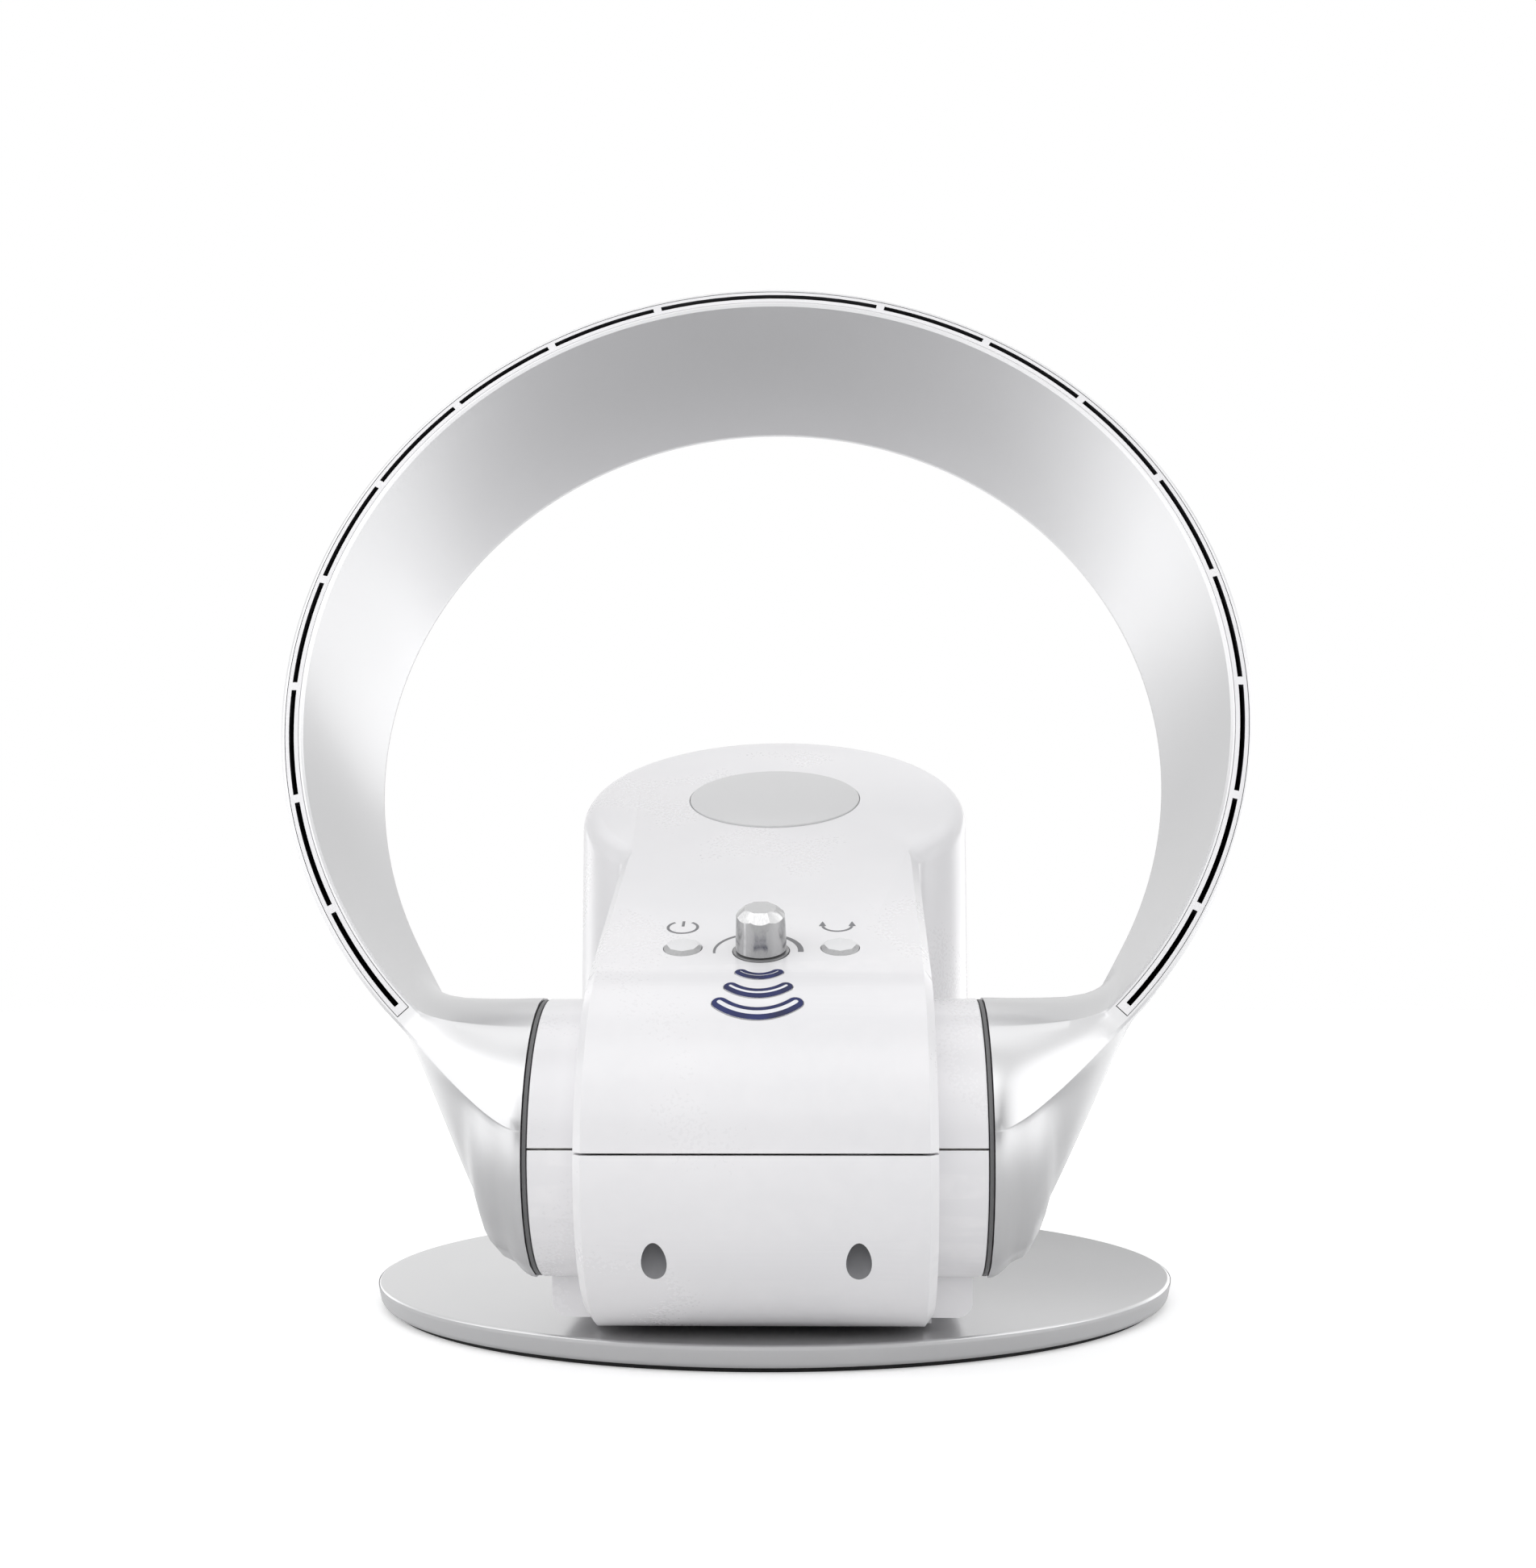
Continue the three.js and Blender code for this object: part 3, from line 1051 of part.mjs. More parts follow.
function knobShaft() {
  const top = DRUM_RADIUS + COLLAR_HEIGHT - COLLAR_SINK + KNOB_BORE_DEPTH;
  return round(SHAFT_RADIUS, boardTop + POTENTIOMETER_HEIGHT + 2 * SEAT_GAP, top, 0, SMALL_ROUND);
}

function pushButton() {
  const top = DRUM_RADIUS + BUTTON_PROUD;
  const flangeTop = DRUM_RADIUS - HOUSING_WALL - SEAT_GAP;
  const flangeBottom = flangeTop - BUTTON_FLANGE_THICKNESS;
  const stemEnd = boardTop + SWITCH_HEIGHT + SEAT_GAP + BUTTON_TRAVEL;
  return turned([
    [0, stemEnd],
    [BUTTON_STEM_RADIUS, stemEnd],
    [BUTTON_STEM_RADIUS, flangeBottom],
    [BUTTON_RADIUS + BUTTON_FLANGE, flangeBottom],
    [BUTTON_RADIUS + BUTTON_FLANGE, flangeTop],
    [BUTTON_RADIUS, flangeTop],
    [BUTTON_RADIUS, top - BUTTON_EDGE],
    [BUTTON_RADIUS - BUTTON_EDGE, top],
    [BUTTON_RADIUS / 2, top - BUTTON_DISH * 0.75],
    [0, top - BUTTON_DISH],
  ], SMALL_ROUND);
}

function controlBoard() {
  const middle = (KNOB_UPSLOPE + BUTTON_UPSLOPE) / 2;
  const [low, high] = [middle - BOARD_LENGTH / 2, middle + BOARD_LENGTH / 2];
  const w = BOARD_HALF_WIDTH;
  const plate = solid(block(-w, w, low, high, boardTop - BOARD_THICKNESS, boardTop));
  const half = SWITCH_SIZE / 2;
  const switches = [-BUTTON_SPACING, BUTTON_SPACING].map((x) => {
    const [front, rear] = [BUTTON_UPSLOPE - half, BUTTON_UPSLOPE + half];
    return solid(block(x - half, x + half, front, rear, boardTop - LAP, boardTop + SWITCH_HEIGHT));
  });
  return joined(plate, ...switches);
}

function potentiometer() {
  const half = POTENTIOMETER_SIZE / 2;
  const bottom = boardTop + SEAT_GAP;
  return block(-half, half, KNOB_UPSLOPE - half, KNOB_UPSLOPE + half, bottom, boardTop + POTENTIOMETER_HEIGHT);
}

function powerInlet() {
  const r = HOUSING_RADIUS;
  const inner = r - INLET_LENGTH;
  const outer = r - INLET_RECESS;
  const flange = r - HOUSING_WALL - INLET_FLANGE_DROP;
  return turned([
    [0, inner],
    [INLET_RADIUS, inner],
    [INLET_RADIUS, flange - INLET_FLANGE_THICKNESS],
    [INLET_FLANGE_RADIUS, flange - INLET_FLANGE_THICKNESS],
    [INLET_FLANGE_RADIUS, flange],
    [INLET_RADIUS, flange],
    [INLET_RADIUS, outer],
    [INLET_BORE_RADIUS, outer],
    [INLET_BORE_RADIUS, inner + INLET_END_WALL],
    [INLET_PIN_RADIUS, inner + INLET_END_WALL],
    [INLET_PIN_RADIUS, r - PIN_RECESS - INLET_PIN_RADIUS / 2],
    [0, r - PIN_RECESS],
  ], SMALL_ROUND).rotateX(-Math.PI / 2).translate(0, 0, INLET_HEIGHT);
}

function driverBoard() {
  const bottom = housingFloor + DRIVER_BOARD_LIFT;
  const top = bottom + BOARD_THICKNESS;
  const middle = -HUB_FORWARD / 2;
  const [w, l] = [DRIVER_BOARD_HALF_WIDTH, DRIVER_BOARD_LENGTH / 2];
  const plate = solid(block(-w, w, middle - l, middle + l, bottom, top));
  const component = (x, size, height) => {
    const half = size / 2;
    return solid(block(x - half, x + half, middle - half, middle + half, top - LAP, top + height));
  };
  const capacitor = bar([COMPONENT_PITCH, middle], CAPACITOR_RADIUS, top - LAP, top + CAPACITOR_HEIGHT);
  const chip = component(0, CHIP_SIZE, CHIP_HEIGHT);
  const choke = component(-COMPONENT_PITCH, CHOKE_SIZE, CHOKE_HEIGHT);
  return joined(plate, capacitor, chip, choke);
}

// ---- Base pieces ----
function baseCover() {
  const [r, wall] = [BASE_RADIUS, BASE_COVER_WALL];
  const steps = 2;
  const corner = [];
  for (let i = 0; i <= steps; i += 1) {
    const turn = ((i / steps) * Math.PI) / 2;
    corner.push([r - BASE_TOP_ROUND * (1 - Math.cos(turn)), baseTop - BASE_TOP_ROUND * (1 - Math.sin(turn))]);
  }
  const cover = solid(turned([
    [0, baseTop - wall],
    [r - BASE_SIDE_TUCK - wall, baseTop - wall],
    [r - BASE_SIDE_TUCK - wall, FOOT_HEIGHT],
    [r - BASE_SIDE_TUCK, FOOT_HEIGHT],
    [r - BASE_SIDE_TUCK / 2, FOOT_HEIGHT + BASE_SIDE_TUCK / 2],
    ...corner,
    [0, baseTop],
  ], LARGE_ROUND));
  return drilled(cover, screwHole);
}

const drilled = (body, radius) =>
  without(body, ...baseScrewPlaces.map((place) => bar(place, radius, -LAP, baseTop + LAP)));

const bottomPlateTop = FOOT_HEIGHT + BOTTOM_PLATE_THICKNESS;

function buildBase() {
  const inner = BASE_RADIUS - BASE_SIDE_TUCK - BASE_COVER_WALL - SEAT_GAP;
  addPiece('base_cover', baseCover(), SILVER_PAINT);
  const ballastTop = baseTop - BASE_COVER_WALL - SEAT_GAP;
  const ballast = solid(round(inner - BALLAST_THICKNESS, ballastTop - BALLAST_THICKNESS, ballastTop));
  addPiece('ballast_plate', drilled(ballast, SCREW_HEAD_RADIUS + SEAT_GAP), STEEL);
  const plate = solid(round(inner, FOOT_HEIGHT, bottomPlateTop - SEAT_GAP, 0, LARGE_ROUND));
  addPiece('bottom_plate', drilled(plate, SCREW_HEAD_RADIUS + SEAT_GAP), BLACK_PLASTIC);
  addPiece('foot_ring', round(inner, 0, FOOT_HEIGHT - SEAT_GAP, inner - FOOT_WIDTH, LARGE_ROUND), DARK_RUBBER);
  addPiece('centre_pad', round(CENTRE_PAD_RADIUS, 0, FOOT_HEIGHT - SEAT_GAP), DARK_RUBBER);
  addPiece('glide_ring', round(GLIDE_INNER_RADIUS + GLIDE_WIDTH, baseTop + SEAT_GAP, housingBottom - SEAT_GAP,
    GLIDE_INNER_RADIUS), NATURAL_PLASTIC);
  addPiece('swing_gear', swingGear(), NATURAL_PLASTIC);
  baseScrewPlaces.forEach(([x, y], k) => {
    const bottom = baseTop - BASE_COVER_WALL - SEAT_GAP - SCREW_HEAD_HEIGHT;
    addPiece(`base_screw_${k + 1}`, screw(BASE_SCREW_LENGTH).translate(x, y, bottom), STEEL);
  });
}

function buildHousing() {
  addPiece('lower_shell', lowerShell(), WHITE_PLASTIC);
  addPiece('upper_shell', upperShell(), WHITE_PLASTIC);
  addPiece('intake_grille', intakeGrille(), WHITE_PLASTIC);
  addPiece('air_tee', airTee(), NATURAL_PLASTIC);
  addPiece('scroll_case', scrollCase(), BLACK_PLASTIC);
  addPiece('scroll_cover', scrollCover(), BLACK_PLASTIC);
  addPiece('motor_cushion', round(MOTOR_RADIUS, scrollFloor + SEAT_GAP, motorBottom - SEAT_GAP), DARK_RUBBER);
  addPiece('blower_motor', round(MOTOR_RADIUS, motorBottom, motorTop, MOTOR_SHAFT_RADIUS + SEAT_GAP), STEEL);
  addPiece('swing_motor', swingMotor().translate([0, pinionDistance, 0]), STEEL);
  addPiece('driver_board', driverBoard(), BOARD_GREEN);
  addPiece('power_inlet', powerInlet(), BLACK_PLASTIC);
  for (const [name, side] of [['left', -1], ['right', 1]]) {
    const inner = TRUNNION_HALF_SPAN + SEAT_GAP;
    const ring = round(TRUNNION_RADIUS - SEAT_GAP, inner, inner + SEAL_THICKNESS, TRUNNION_RADIUS - SEAL_WIDTH);
    addPiece(`trunnion_seal_${name}`, atHub(alongX(ring.scale(1, 1, side))), DARK_RUBBER);
  }
  frontScrews.forEach(([x, y], k) => {
    const shape = screw(SCREW_LENGTH).translate(x, y, frontSeat - SEAT_GAP - SCREW_HEAD_HEIGHT);
    addPiece(`front_screw_${k + 1}`, shape, STEEL);
  });
  rearScrews.forEach(([x, y], k) => {
    const length = seamUpper - rearSeat + SCREW_LENGTH / 2;
    const shape = screw(length).translate(x, y, rearSeat - SEAT_GAP - SCREW_HEAD_HEIGHT);
    addPiece(`rear_screw_${k + 1}`, shape, STEEL);
  });
  for (const spec of WINDOWS) {
    const inner = DRUM_RADIUS - LENS_THICKNESS + LENS_PROUD;
    addPiece(spec.name, windowForm(spec, 0, inner, DRUM_RADIUS + LENS_PROUD), LENS_TINT);
  }
  const badgeTop = DRUM_RADIUS + BADGE_PROUD;
  const badge = turned([
    [0, badgeTop - BADGE_THICKNESS],
    [BADGE_RADIUS, badgeTop - BADGE_THICKNESS],
    [BADGE_RADIUS, badgeTop - BADGE_EDGE_DROP],
    [BADGE_RADIUS - BADGE_EDGE_WIDTH, badgeTop],
    [0, badgeTop],
  ], MEDIUM_ROUND);
  addPiece('badge_plate', atPanel(badge.translate(0, BADGE_UPSLOPE, 0)), GREY_PLASTIC);
  const collarBottom = DRUM_RADIUS - COLLAR_SINK;
  const collar = round(COLLAR_RADIUS, collarBottom, collarBottom + COLLAR_HEIGHT, SHAFT_RADIUS + 2 * SEAT_GAP);
  addPiece('knob_collar', atPanel(collar.translate(0, KNOB_UPSLOPE, 0)), BLACK_PLASTIC);
  addPiece('control_board', atPanel(geometryOf(controlBoard())), BOARD_GREEN);
  addPiece('potentiometer', atPanel(potentiometer()), STEEL);
}

function buildControls() {
  addPiece('speed_knob', atPanel(geometryOf(speedKnob()).translate(0, KNOB_UPSLOPE, 0)), BRIGHT_METAL);
  addPiece('knob_shaft', atPanel(knobShaft().translate(0, KNOB_UPSLOPE, 0)), STEEL);
  for (const [name, side] of [['power_button', -1], ['swing_button', 1]]) {
    addPiece(name, atPanel(pushButton().translate(side * BUTTON_SPACING, BUTTON_UPSLOPE, 0)), GREY_PLASTIC);
  }
}

function buildDrive() {
  addPiece('swing_pinion', swingPinion().translate([0, pinionDistance, 0]), NATURAL_PLASTIC);
  addPiece('pinion_shaft', pinionShaft().translate(0, pinionDistance, 0), STEEL);
  addPiece('impeller', impeller(), BLACK_PLASTIC);
  const shaft = round(MOTOR_SHAFT_RADIUS, motorBottom + SEAT_GAP, motorTop + MOTOR_SHAFT_REACH, 0, SMALL_ROUND);
  addPiece('motor_shaft', shaft, STEEL);
}

function buildAirRing() {
  const leaning = new THREE.Group();
  leaning.position.set(0, hubY, HUB_HEIGHT);
  leaning.rotation.x = -rad(RING_TILT);
  fan.add(leaning);
  addPiece('nozzle_shell', nozzleShell(), SILVER_PAINT, leaning);
  addPiece('nozzle_rim', nozzleRim(), WHITE_PLASTIC, leaning);
  addPiece('pivot_sleeve_left', pivotSleeve(-1), NATURAL_PLASTIC, leaning);
  addPiece('pivot_sleeve_right', pivotSleeve(1), NATURAL_PLASTIC, leaning);
}

buildBase();
buildHousing();
buildControls();
buildDrive();
buildAirRing();

export default fan;
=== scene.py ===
"""A table-top bladeless fan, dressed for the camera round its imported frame.

Lengths are millimetres in the part's own frame: +Z up, the front faces -Y, and the origin is the middle of
the underside of the base. Meshes are scaled to metres as they are made.
"""
import json
import math

import bmesh
import bpy
from mathutils import Matrix, Vector


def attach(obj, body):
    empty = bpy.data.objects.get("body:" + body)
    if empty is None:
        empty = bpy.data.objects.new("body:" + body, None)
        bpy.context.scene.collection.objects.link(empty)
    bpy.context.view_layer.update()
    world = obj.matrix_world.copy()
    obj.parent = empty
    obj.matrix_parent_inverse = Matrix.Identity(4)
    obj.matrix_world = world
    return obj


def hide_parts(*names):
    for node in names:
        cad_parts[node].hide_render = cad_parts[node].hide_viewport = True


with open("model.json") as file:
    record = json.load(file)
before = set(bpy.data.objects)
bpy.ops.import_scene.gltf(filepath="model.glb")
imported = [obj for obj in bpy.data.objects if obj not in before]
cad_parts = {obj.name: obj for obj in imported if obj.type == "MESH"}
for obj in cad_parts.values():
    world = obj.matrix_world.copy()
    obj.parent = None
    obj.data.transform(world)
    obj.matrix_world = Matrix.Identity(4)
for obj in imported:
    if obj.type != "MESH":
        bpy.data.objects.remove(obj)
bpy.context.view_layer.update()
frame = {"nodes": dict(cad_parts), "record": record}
MM = 0.001

# ---- Places that the frame gives ----
JOINTS = {joint["name"]: joint for joint in frame["record"]["behaviour"]["joints"]}
HUB = Vector(JOINTS["ring_tilt"]["pos_m"]) / MM
PANEL_NORMAL = Vector(JOINTS["speed_turn"]["axis"])
PANEL_SLOPE = math.atan2(-PANEL_NORMAL.y, PANEL_NORMAL.z)

# ---- Base ----
BASE_RADIUS = 153
BASE_TOP = 9.2
BASE_WALL = 2.4
BASE_TOP_ROUND = 1.6
BASE_SIDE_TUCK = 2.2
BASE_LIP_EDGE, BASE_SIDE_EDGE = 0.8, 1
BASE_SEGMENTS = 240
FOOT_TOP = 1.8
FOOT_WIDTH = 9
FOOT_EDGE = 0.4
BOTTOM_PLATE = 1.2
SCREW_CIRCLE = 15
SCREW_HOLE = 3.7
GLIDE_INNER, GLIDE_OUTER = 56, 65

# ---- Housing ----
HOUSING_RADIUS = 76.8
HOUSING_WALL = 2.6
DRUM_RADIUS = 60.37
DRUM_HALF_WIDTH = 55.1
DRUM_CHAMFER_WIDTH = 2.7
DRUM_CHAMFER_DROP = 3.6
NECK_BLEND = 14
REAR_EDGE_ROUND = 8
SILL_HALF_WIDTH = 68
SILL_FRONT = 9
SILL_TOP_DROP = 26
SILL_LIFT = 3.4
SILL_CORNER = 5
SILL_REAR_END = 30.7
TRUNNION_RADIUS = 45
TRUNNION_HALF_SPAN = 71
TRUNNION_EDGE = 0.8
TEE_BORE = 41.8
SEAM_GAP = 0.7
SEAT_GAP = 0.3
SOFT_EDGE = 0.3
OVERRUN = 5
HOUSING_BOTTOM = HUB.z - DRUM_RADIUS
HOUSING_FLOOR = HOUSING_BOTTOM + HOUSING_WALL
HOUSING_REACH = 2 * (HOUSING_RADIUS - HUB.y)
SCREW_BORE = 3.9
FRONT_SCREWS = [Vector((side * 31, HUB.y - 50.2, 0)) for side in (-1, 1)]
REAR_SCREWS = [Vector((side * 49.64, 49.64, 0)) for side in (-1, 1)]
SCREW_HEAD_DROP = 14
SCREW_HEAD_HEIGHT = 2.4
SCREW_SHANK_HOLE = 2
BOSS_RADIUS = 5.4
POST_RADIUS = 24.6
INLET_HEIGHT = 52
INLET_HOLE = 5.5
SEAL_INNER, SEAL_OUTER, SEAL_THICKNESS = 40.5, 44.7, 1.3

# ---- Rear grille ----
GRILLE_HALF_ANGLE = math.radians(62)
GRILLE_BOTTOM = 90
GRILLE_HEIGHT = 82
GRILLE_THICKNESS = 2
GRILLE_SLOT = 5.4
GRILLE_SLOT_END = 1.6
GRILLE_PITCH = 10.4
GRILLE_BAND = 5
GRILLE_COLUMNS = 14

# ---- Air ring ----
RING_TILT = math.radians(17)
RING_RISE = 151.3
RING_FRONT = -27.9
RING_DEPTH = 73.8
FRONT_INNER, FRONT_OUTER = 161.1, 168.8
REAR_INNER, REAR_OUTER = 148.6, 158
FRONT_WALL, REAR_WALL = 1.2, 2.2
RING_EDGE = 0.8
LIP_PAINTED_SHADE_END = 0.45
LIP_STEPS = 8
HUB_FACE = 72.9
HUB_DISC = 45.4
SLEEVE_BORE = 38.7
SLEEVE_DEPTH = 8.3
SLEEVE_COVER = 0.9
SLEEVE_REACH, SLEEVE_EASE = 2.5 * SLEEVE_DEPTH, 1.4 * SLEEVE_DEPTH
RIM_HALF_ANGLE = math.radians(135)
RIM_THICKNESS = 3
RIM_HALF_WIDTH = 2.3
MOUTH_HALF_WIDTH = 2.45
SLOT_CIRCLE = 165
SLOT_WIDTH = 1.7
SLOT_BRIDGE = 3
SLOTS_PER_SIDE = 8

# ---- Legs: where they leave the ring, and how far each wall's curve follows the ring and the hub's axis ----
LEG_START_FRONT, LEG_START_REAR = math.radians(136), math.radians(118)
INNER_HUB_ANGLES, LIP_HUB_ANGLES = (36, 170), (170, 192)
OUTER_HUB_ANGLES, FRONT_HUB_ANGLES = (350, 192), (355, 390)
RING_PULL, RING_PULL_CHANGE = 0.5, 0.1
HUB_PULL, HUB_PULL_TOP, HUB_PULL_BOTTOM = 0.5, 0.5, 0.16
HOLLOW_POWER = 2.2
HOLLOW_PULL = 0.72
HOLLOW_REACH = 0.8

# ---- Control panel: x across, y up the slope from the crease, z out of the panel ----
KNOB_Y = 13.8
KNOB_RADIUS = 8.4
KNOB_HEIGHT = 14.5
KNOB_TAPER = 0.5
KNOB_BEVEL = 3.4
KNOB_BOTTOM = DRUM_RADIUS + 0.9
KNOB_BORE, KNOB_BORE_DEPTH = 3.3, 9
SHAFT_HOLE = 3.6
COLLAR_RADIUS = 9.2
COLLAR_PROUD = 0.45
COLLAR_FOOT, COLLAR_SEAT = 0.8, 1.1
BUTTON_X, BUTTON_Y = 25.9, 16.2
BUTTON_RADIUS = 6.2
BUTTON_PROUD = 0.9
BUTTON_HOLE_DEPTH = 5
BUTTON_FLANGE_REACH, BUTTON_FLANGE_THICKNESS = 1.2, 1.4
BUTTON_STEM, BUTTON_STEM_END = 1.8, 52.9
BUTTON_CROWN = 12
BUTTON_FLAT_REACH = 4.9
BUTTON_FLAT_SLOPE = 2
BUTTON_FLAT_RISE = 0.9
BADGE_Y = 166.5
BADGE_RADIUS = 34.3
BADGE_PROUD = 0.6
BADGE_THICKNESS = 1.6
BADGE_EDGE = 0.7
PRINT_HEIGHT, PRINT_SINK = 0.06, 0.1
PRINT_LINE = 0.48
WINDOWS = [
    # node, way down the drum, half width, thickness, bend radius
    ("indicator_low", 31, 7.7, 3.8, 7.7),
    ("indicator_middle", 40.4, 10.8, 4.4, 12.8),
    ("indicator_high", 49.4, 14.2, 5, 17.7),
]
LENS_THICKNESS = 1.3
LENS_PROUD = 0.2
BORDER_SIDE, BORDER_TOP, BORDER_BOTTOM = 1.5, 1.3, 2.1

# ---- Fineness ----
FINE = 160
MEDIUM = 64
SMALL = 32
FACE_REACH = 0.02

# ---- Frames of the object ----
PART = Matrix()
AT_HUB = Matrix.Translation(HUB)
ABOUT_X = Matrix.Rotation(math.pi / 2, 4, "Y")
PANEL = AT_HUB @ Matrix.Rotation(PANEL_SLOPE, 4, "X")
RING = AT_HUB @ Matrix.Rotation(-RING_TILT, 4, "X")


def lerp(a, b, t):
    return a + (b - a) * t


# ---- Mesh making ----
def made(name, points, faces, place=PART, zones=()):
    """A closed mesh object from points in millimetres, with its faces turned outwards."""
    mesh = bpy.data.meshes.new(name)
    mesh.from_pydata([(place @ Vector(p)) * MM for p in points], [], faces)
    if zones:
        mesh.polygons.foreach_set("material_index", zones)
    work = bmesh.new()
    work.from_mesh(mesh)
    bmesh.ops.remove_doubles(work, verts=work.verts, dist=1e-7)
    bmesh.ops.recalc_face_normals(work, faces=work.faces)
    work.to_mesh(mesh)
    work.free()
    obj = bpy.data.objects.new(name, mesh)
    bpy.context.collection.objects.link(obj)
    return obj


def skinned(name, rows, place=PART, around=False, ends=True):
    """Skins equal closed rows of points; the last row can meet the first, and open ends can be closed."""
    count = len(rows[0])
    faces = []
    for k in range(len(rows) if around else len(rows) - 1):
        low, high = k * count, (k + 1) % len(rows) * count
        for i in range(count):
            j = (i + 1) % count
            faces.append((low + i, low + j, high + j, high + i))
    if ends and not around:
        faces.append(tuple(range(count)))
        faces.append(tuple(range((len(rows) - 1) * count, len(rows) * count)))
    return made(name, [p for row in rows for p in row], faces, place)


def softened(corners, steps=4):
    """The corners as points, with each (x, y, reach) corner rounded over its reach."""
    line = []
    for k, corner in enumerate(corners):
        here = Vector(corner[:2])
        if len(corner) == 2:
            line.append(here)
            continue
        before, after = Vector(corners[k - 1][:2]), Vector(corners[(k + 1) % len(corners)][:2])
        enter = here + (before - here).normalized() * corner[2]
        leave = here + (after - here).normalized() * corner[2]
        for i in range(steps + 1):
            t = i / steps
            line.append(enter.lerp(here, t).lerp(here.lerp(leave, t), t))
    return line


def turned(name, corners, place=PART, segments=FINE, around=False):
    """A body turned about Z from (radius, height) corners that start and end on the axis, or go around."""
    rows = []
    for radius, height in softened(corners):
        angles = [2 * math.pi * i / segments for i in range(segments)]
        rows.append([(radius * math.cos(a), radius * math.sin(a), height) for a in angles])
    return skinned(name, rows, place, around, ends=False)


def band(inner, outer, low, high, softness, place=PART, segments=FINE):
    """A turned band, its corners softened: inner low, outer low, outer high, inner high."""
    corners = zip([(inner, low), (outer, low), (outer, high), (inner, high)], softness)
    corners = [(*corner, soft) if soft else corner for corner, soft in corners]
    return turned("band", corners, place, segments, around=True)


def bar(at, radius, bottom, top, place=PART, segments=SMALL):
    """An upright round cutter or post."""
    corners = [(0, bottom), (radius, bottom), (radius, top), (0, top)]
    return turned("bar", corners, place @ Matrix.Translation((at[0], at[1], 0)), segments)


def slab(name, reach, bottom, top):
    """A square slab about the origin."""
    square = [(-reach, -reach), (reach, -reach), (reach, reach), (-reach, reach)]
    return skinned(name, [[(x, y, z) for x, y in square] for z in (bottom, top)])


def gathered(objects):
    """Several closed bodies that don't touch, as one object."""
    work = bmesh.new()
    for obj in objects:
        work.from_mesh(obj.data)
    for obj in objects[1:]:
        discard(obj)
    work.to_mesh(objects[0].data)
    work.free()
    return objects[0]


def discard(obj):
    mesh = obj.data
    bpy.data.objects.remove(obj)
    bpy.data.meshes.remove(mesh)


def combined(body, others, operation):
    """Joins, cuts or intersects a closed body with others, which are used up."""
    for other in others:
        step = body.modifiers.new("step", "BOOLEAN")
        step.operation = operation
        step.solver = "MANIFOLD"
        step.object = other
    whole = bpy.data.meshes.new_from_object(body.evaluated_get(bpy.context.evaluated_depsgraph_get()))
    body.modifiers.clear()
    old, body.data = body.data, whole
    bpy.data.meshes.remove(old)
    for other in others:
        discard(other)
    return body


def joined(body, *others):
    return combined(body, others, "UNION")


def cut(body, *others):
    return combined(body, others, "DIFFERENCE")


def dressed(obj, name, body, finish, nodes=(), sharp=32, more_finishes=()):
    """Names a finished piece, smooths it up to its sharp edges and ties it to its body."""
    zones = [0] * len(obj.data.polygons)
    obj.data.polygons.foreach_get("material_index", zones)
    obj.name = name
    obj.data.name = name
    obj.data.polygons.foreach_set("use_smooth", [True] * len(obj.data.polygons))
    obj.data.set_sharp_from_angle(angle=math.radians(sharp))
    obj.data.materials.clear()
    for each in (finish, *more_finishes):
        obj.data.materials.append(each)
    obj.data.polygons.foreach_set("material_index", [min(zone, len(more_finishes)) for zone in zones])
    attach(obj, body)
    if nodes:
        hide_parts(*nodes)


def shaded(obj, finish, inside, place=PART):
    """Gives a finish of their own to the faces whose middle lies inside a form."""
    obj.data.materials.append(finish)
    to_place = place.inverted()
    for face in obj.data.polygons:
        if inside(to_place @ (face.center / MM)):
            face.material_index = len(obj.data.materials) - 1


# ---- Shader parts ----
class Nodes:
    """A few short words for making a node tree."""

    def __init__(self, tree):
        self.tree = tree

    def add(self, kind, inputs=(), **settings):
        node = self.tree.nodes.new(kind)
        for key, value in settings.items():
            setattr(node, key, value)
        self.give(node, dict(inputs))
        return node

    def give(self, node, inputs):
        """Links sockets to a node's inputs, and sets those that are plain values."""
        for key, value in inputs.items():
            if isinstance(value, bpy.types.NodeSocket):
                self.tree.links.new(value, node.inputs[key])
            else:
                node.inputs[key].default_value = value

    def math(self, operation, a, b=0.0, clamp=False):
        return self.add("ShaderNodeMath", {0: a, 1: b}, operation=operation, use_clamp=clamp).outputs[0]

    def ranged(self, value, low, high, to_low=0.0, to_high=1.0):
        inputs = {"Value": value, "From Min": low, "From Max": high, "To Min": to_low, "To Max": to_high}
        return self.add("ShaderNodeMapRange", inputs).outputs["Result"]

    def mixed(self, factor, a, b):
        return self.add("ShaderNodeMix", {0: factor, 6: a, 7: b}, data_type="RGBA").outputs[2]

    def place(self):
        return self.add("ShaderNodeTexCoord").outputs["Object"]

    def noise(self, place, scale, detail):
        node = self.add("ShaderNodeTexNoise", {"Vector": place, "Scale": scale, "Detail": detail})
        return node.outputs["Fac"]


def shader_group(name, inputs, outputs):
    """A new node group with named number sockets; also its Nodes, its input sockets and its output node."""
    group = bpy.data.node_groups.new(name, "ShaderNodeTree")
    for key, value in inputs.items():
        socket = group.interface.new_socket(key, in_out="INPUT", socket_type="NodeSocketFloat")
        socket.default_value = value
    for key in outputs:
        group.interface.new_socket(key, in_out="OUTPUT", socket_type="NodeSocketFloat")
    nodes = Nodes(group)
    entry = nodes.add("NodeGroupInput")
    leave = nodes.add("NodeGroupOutput")
    return group, nodes, entry.outputs, leave


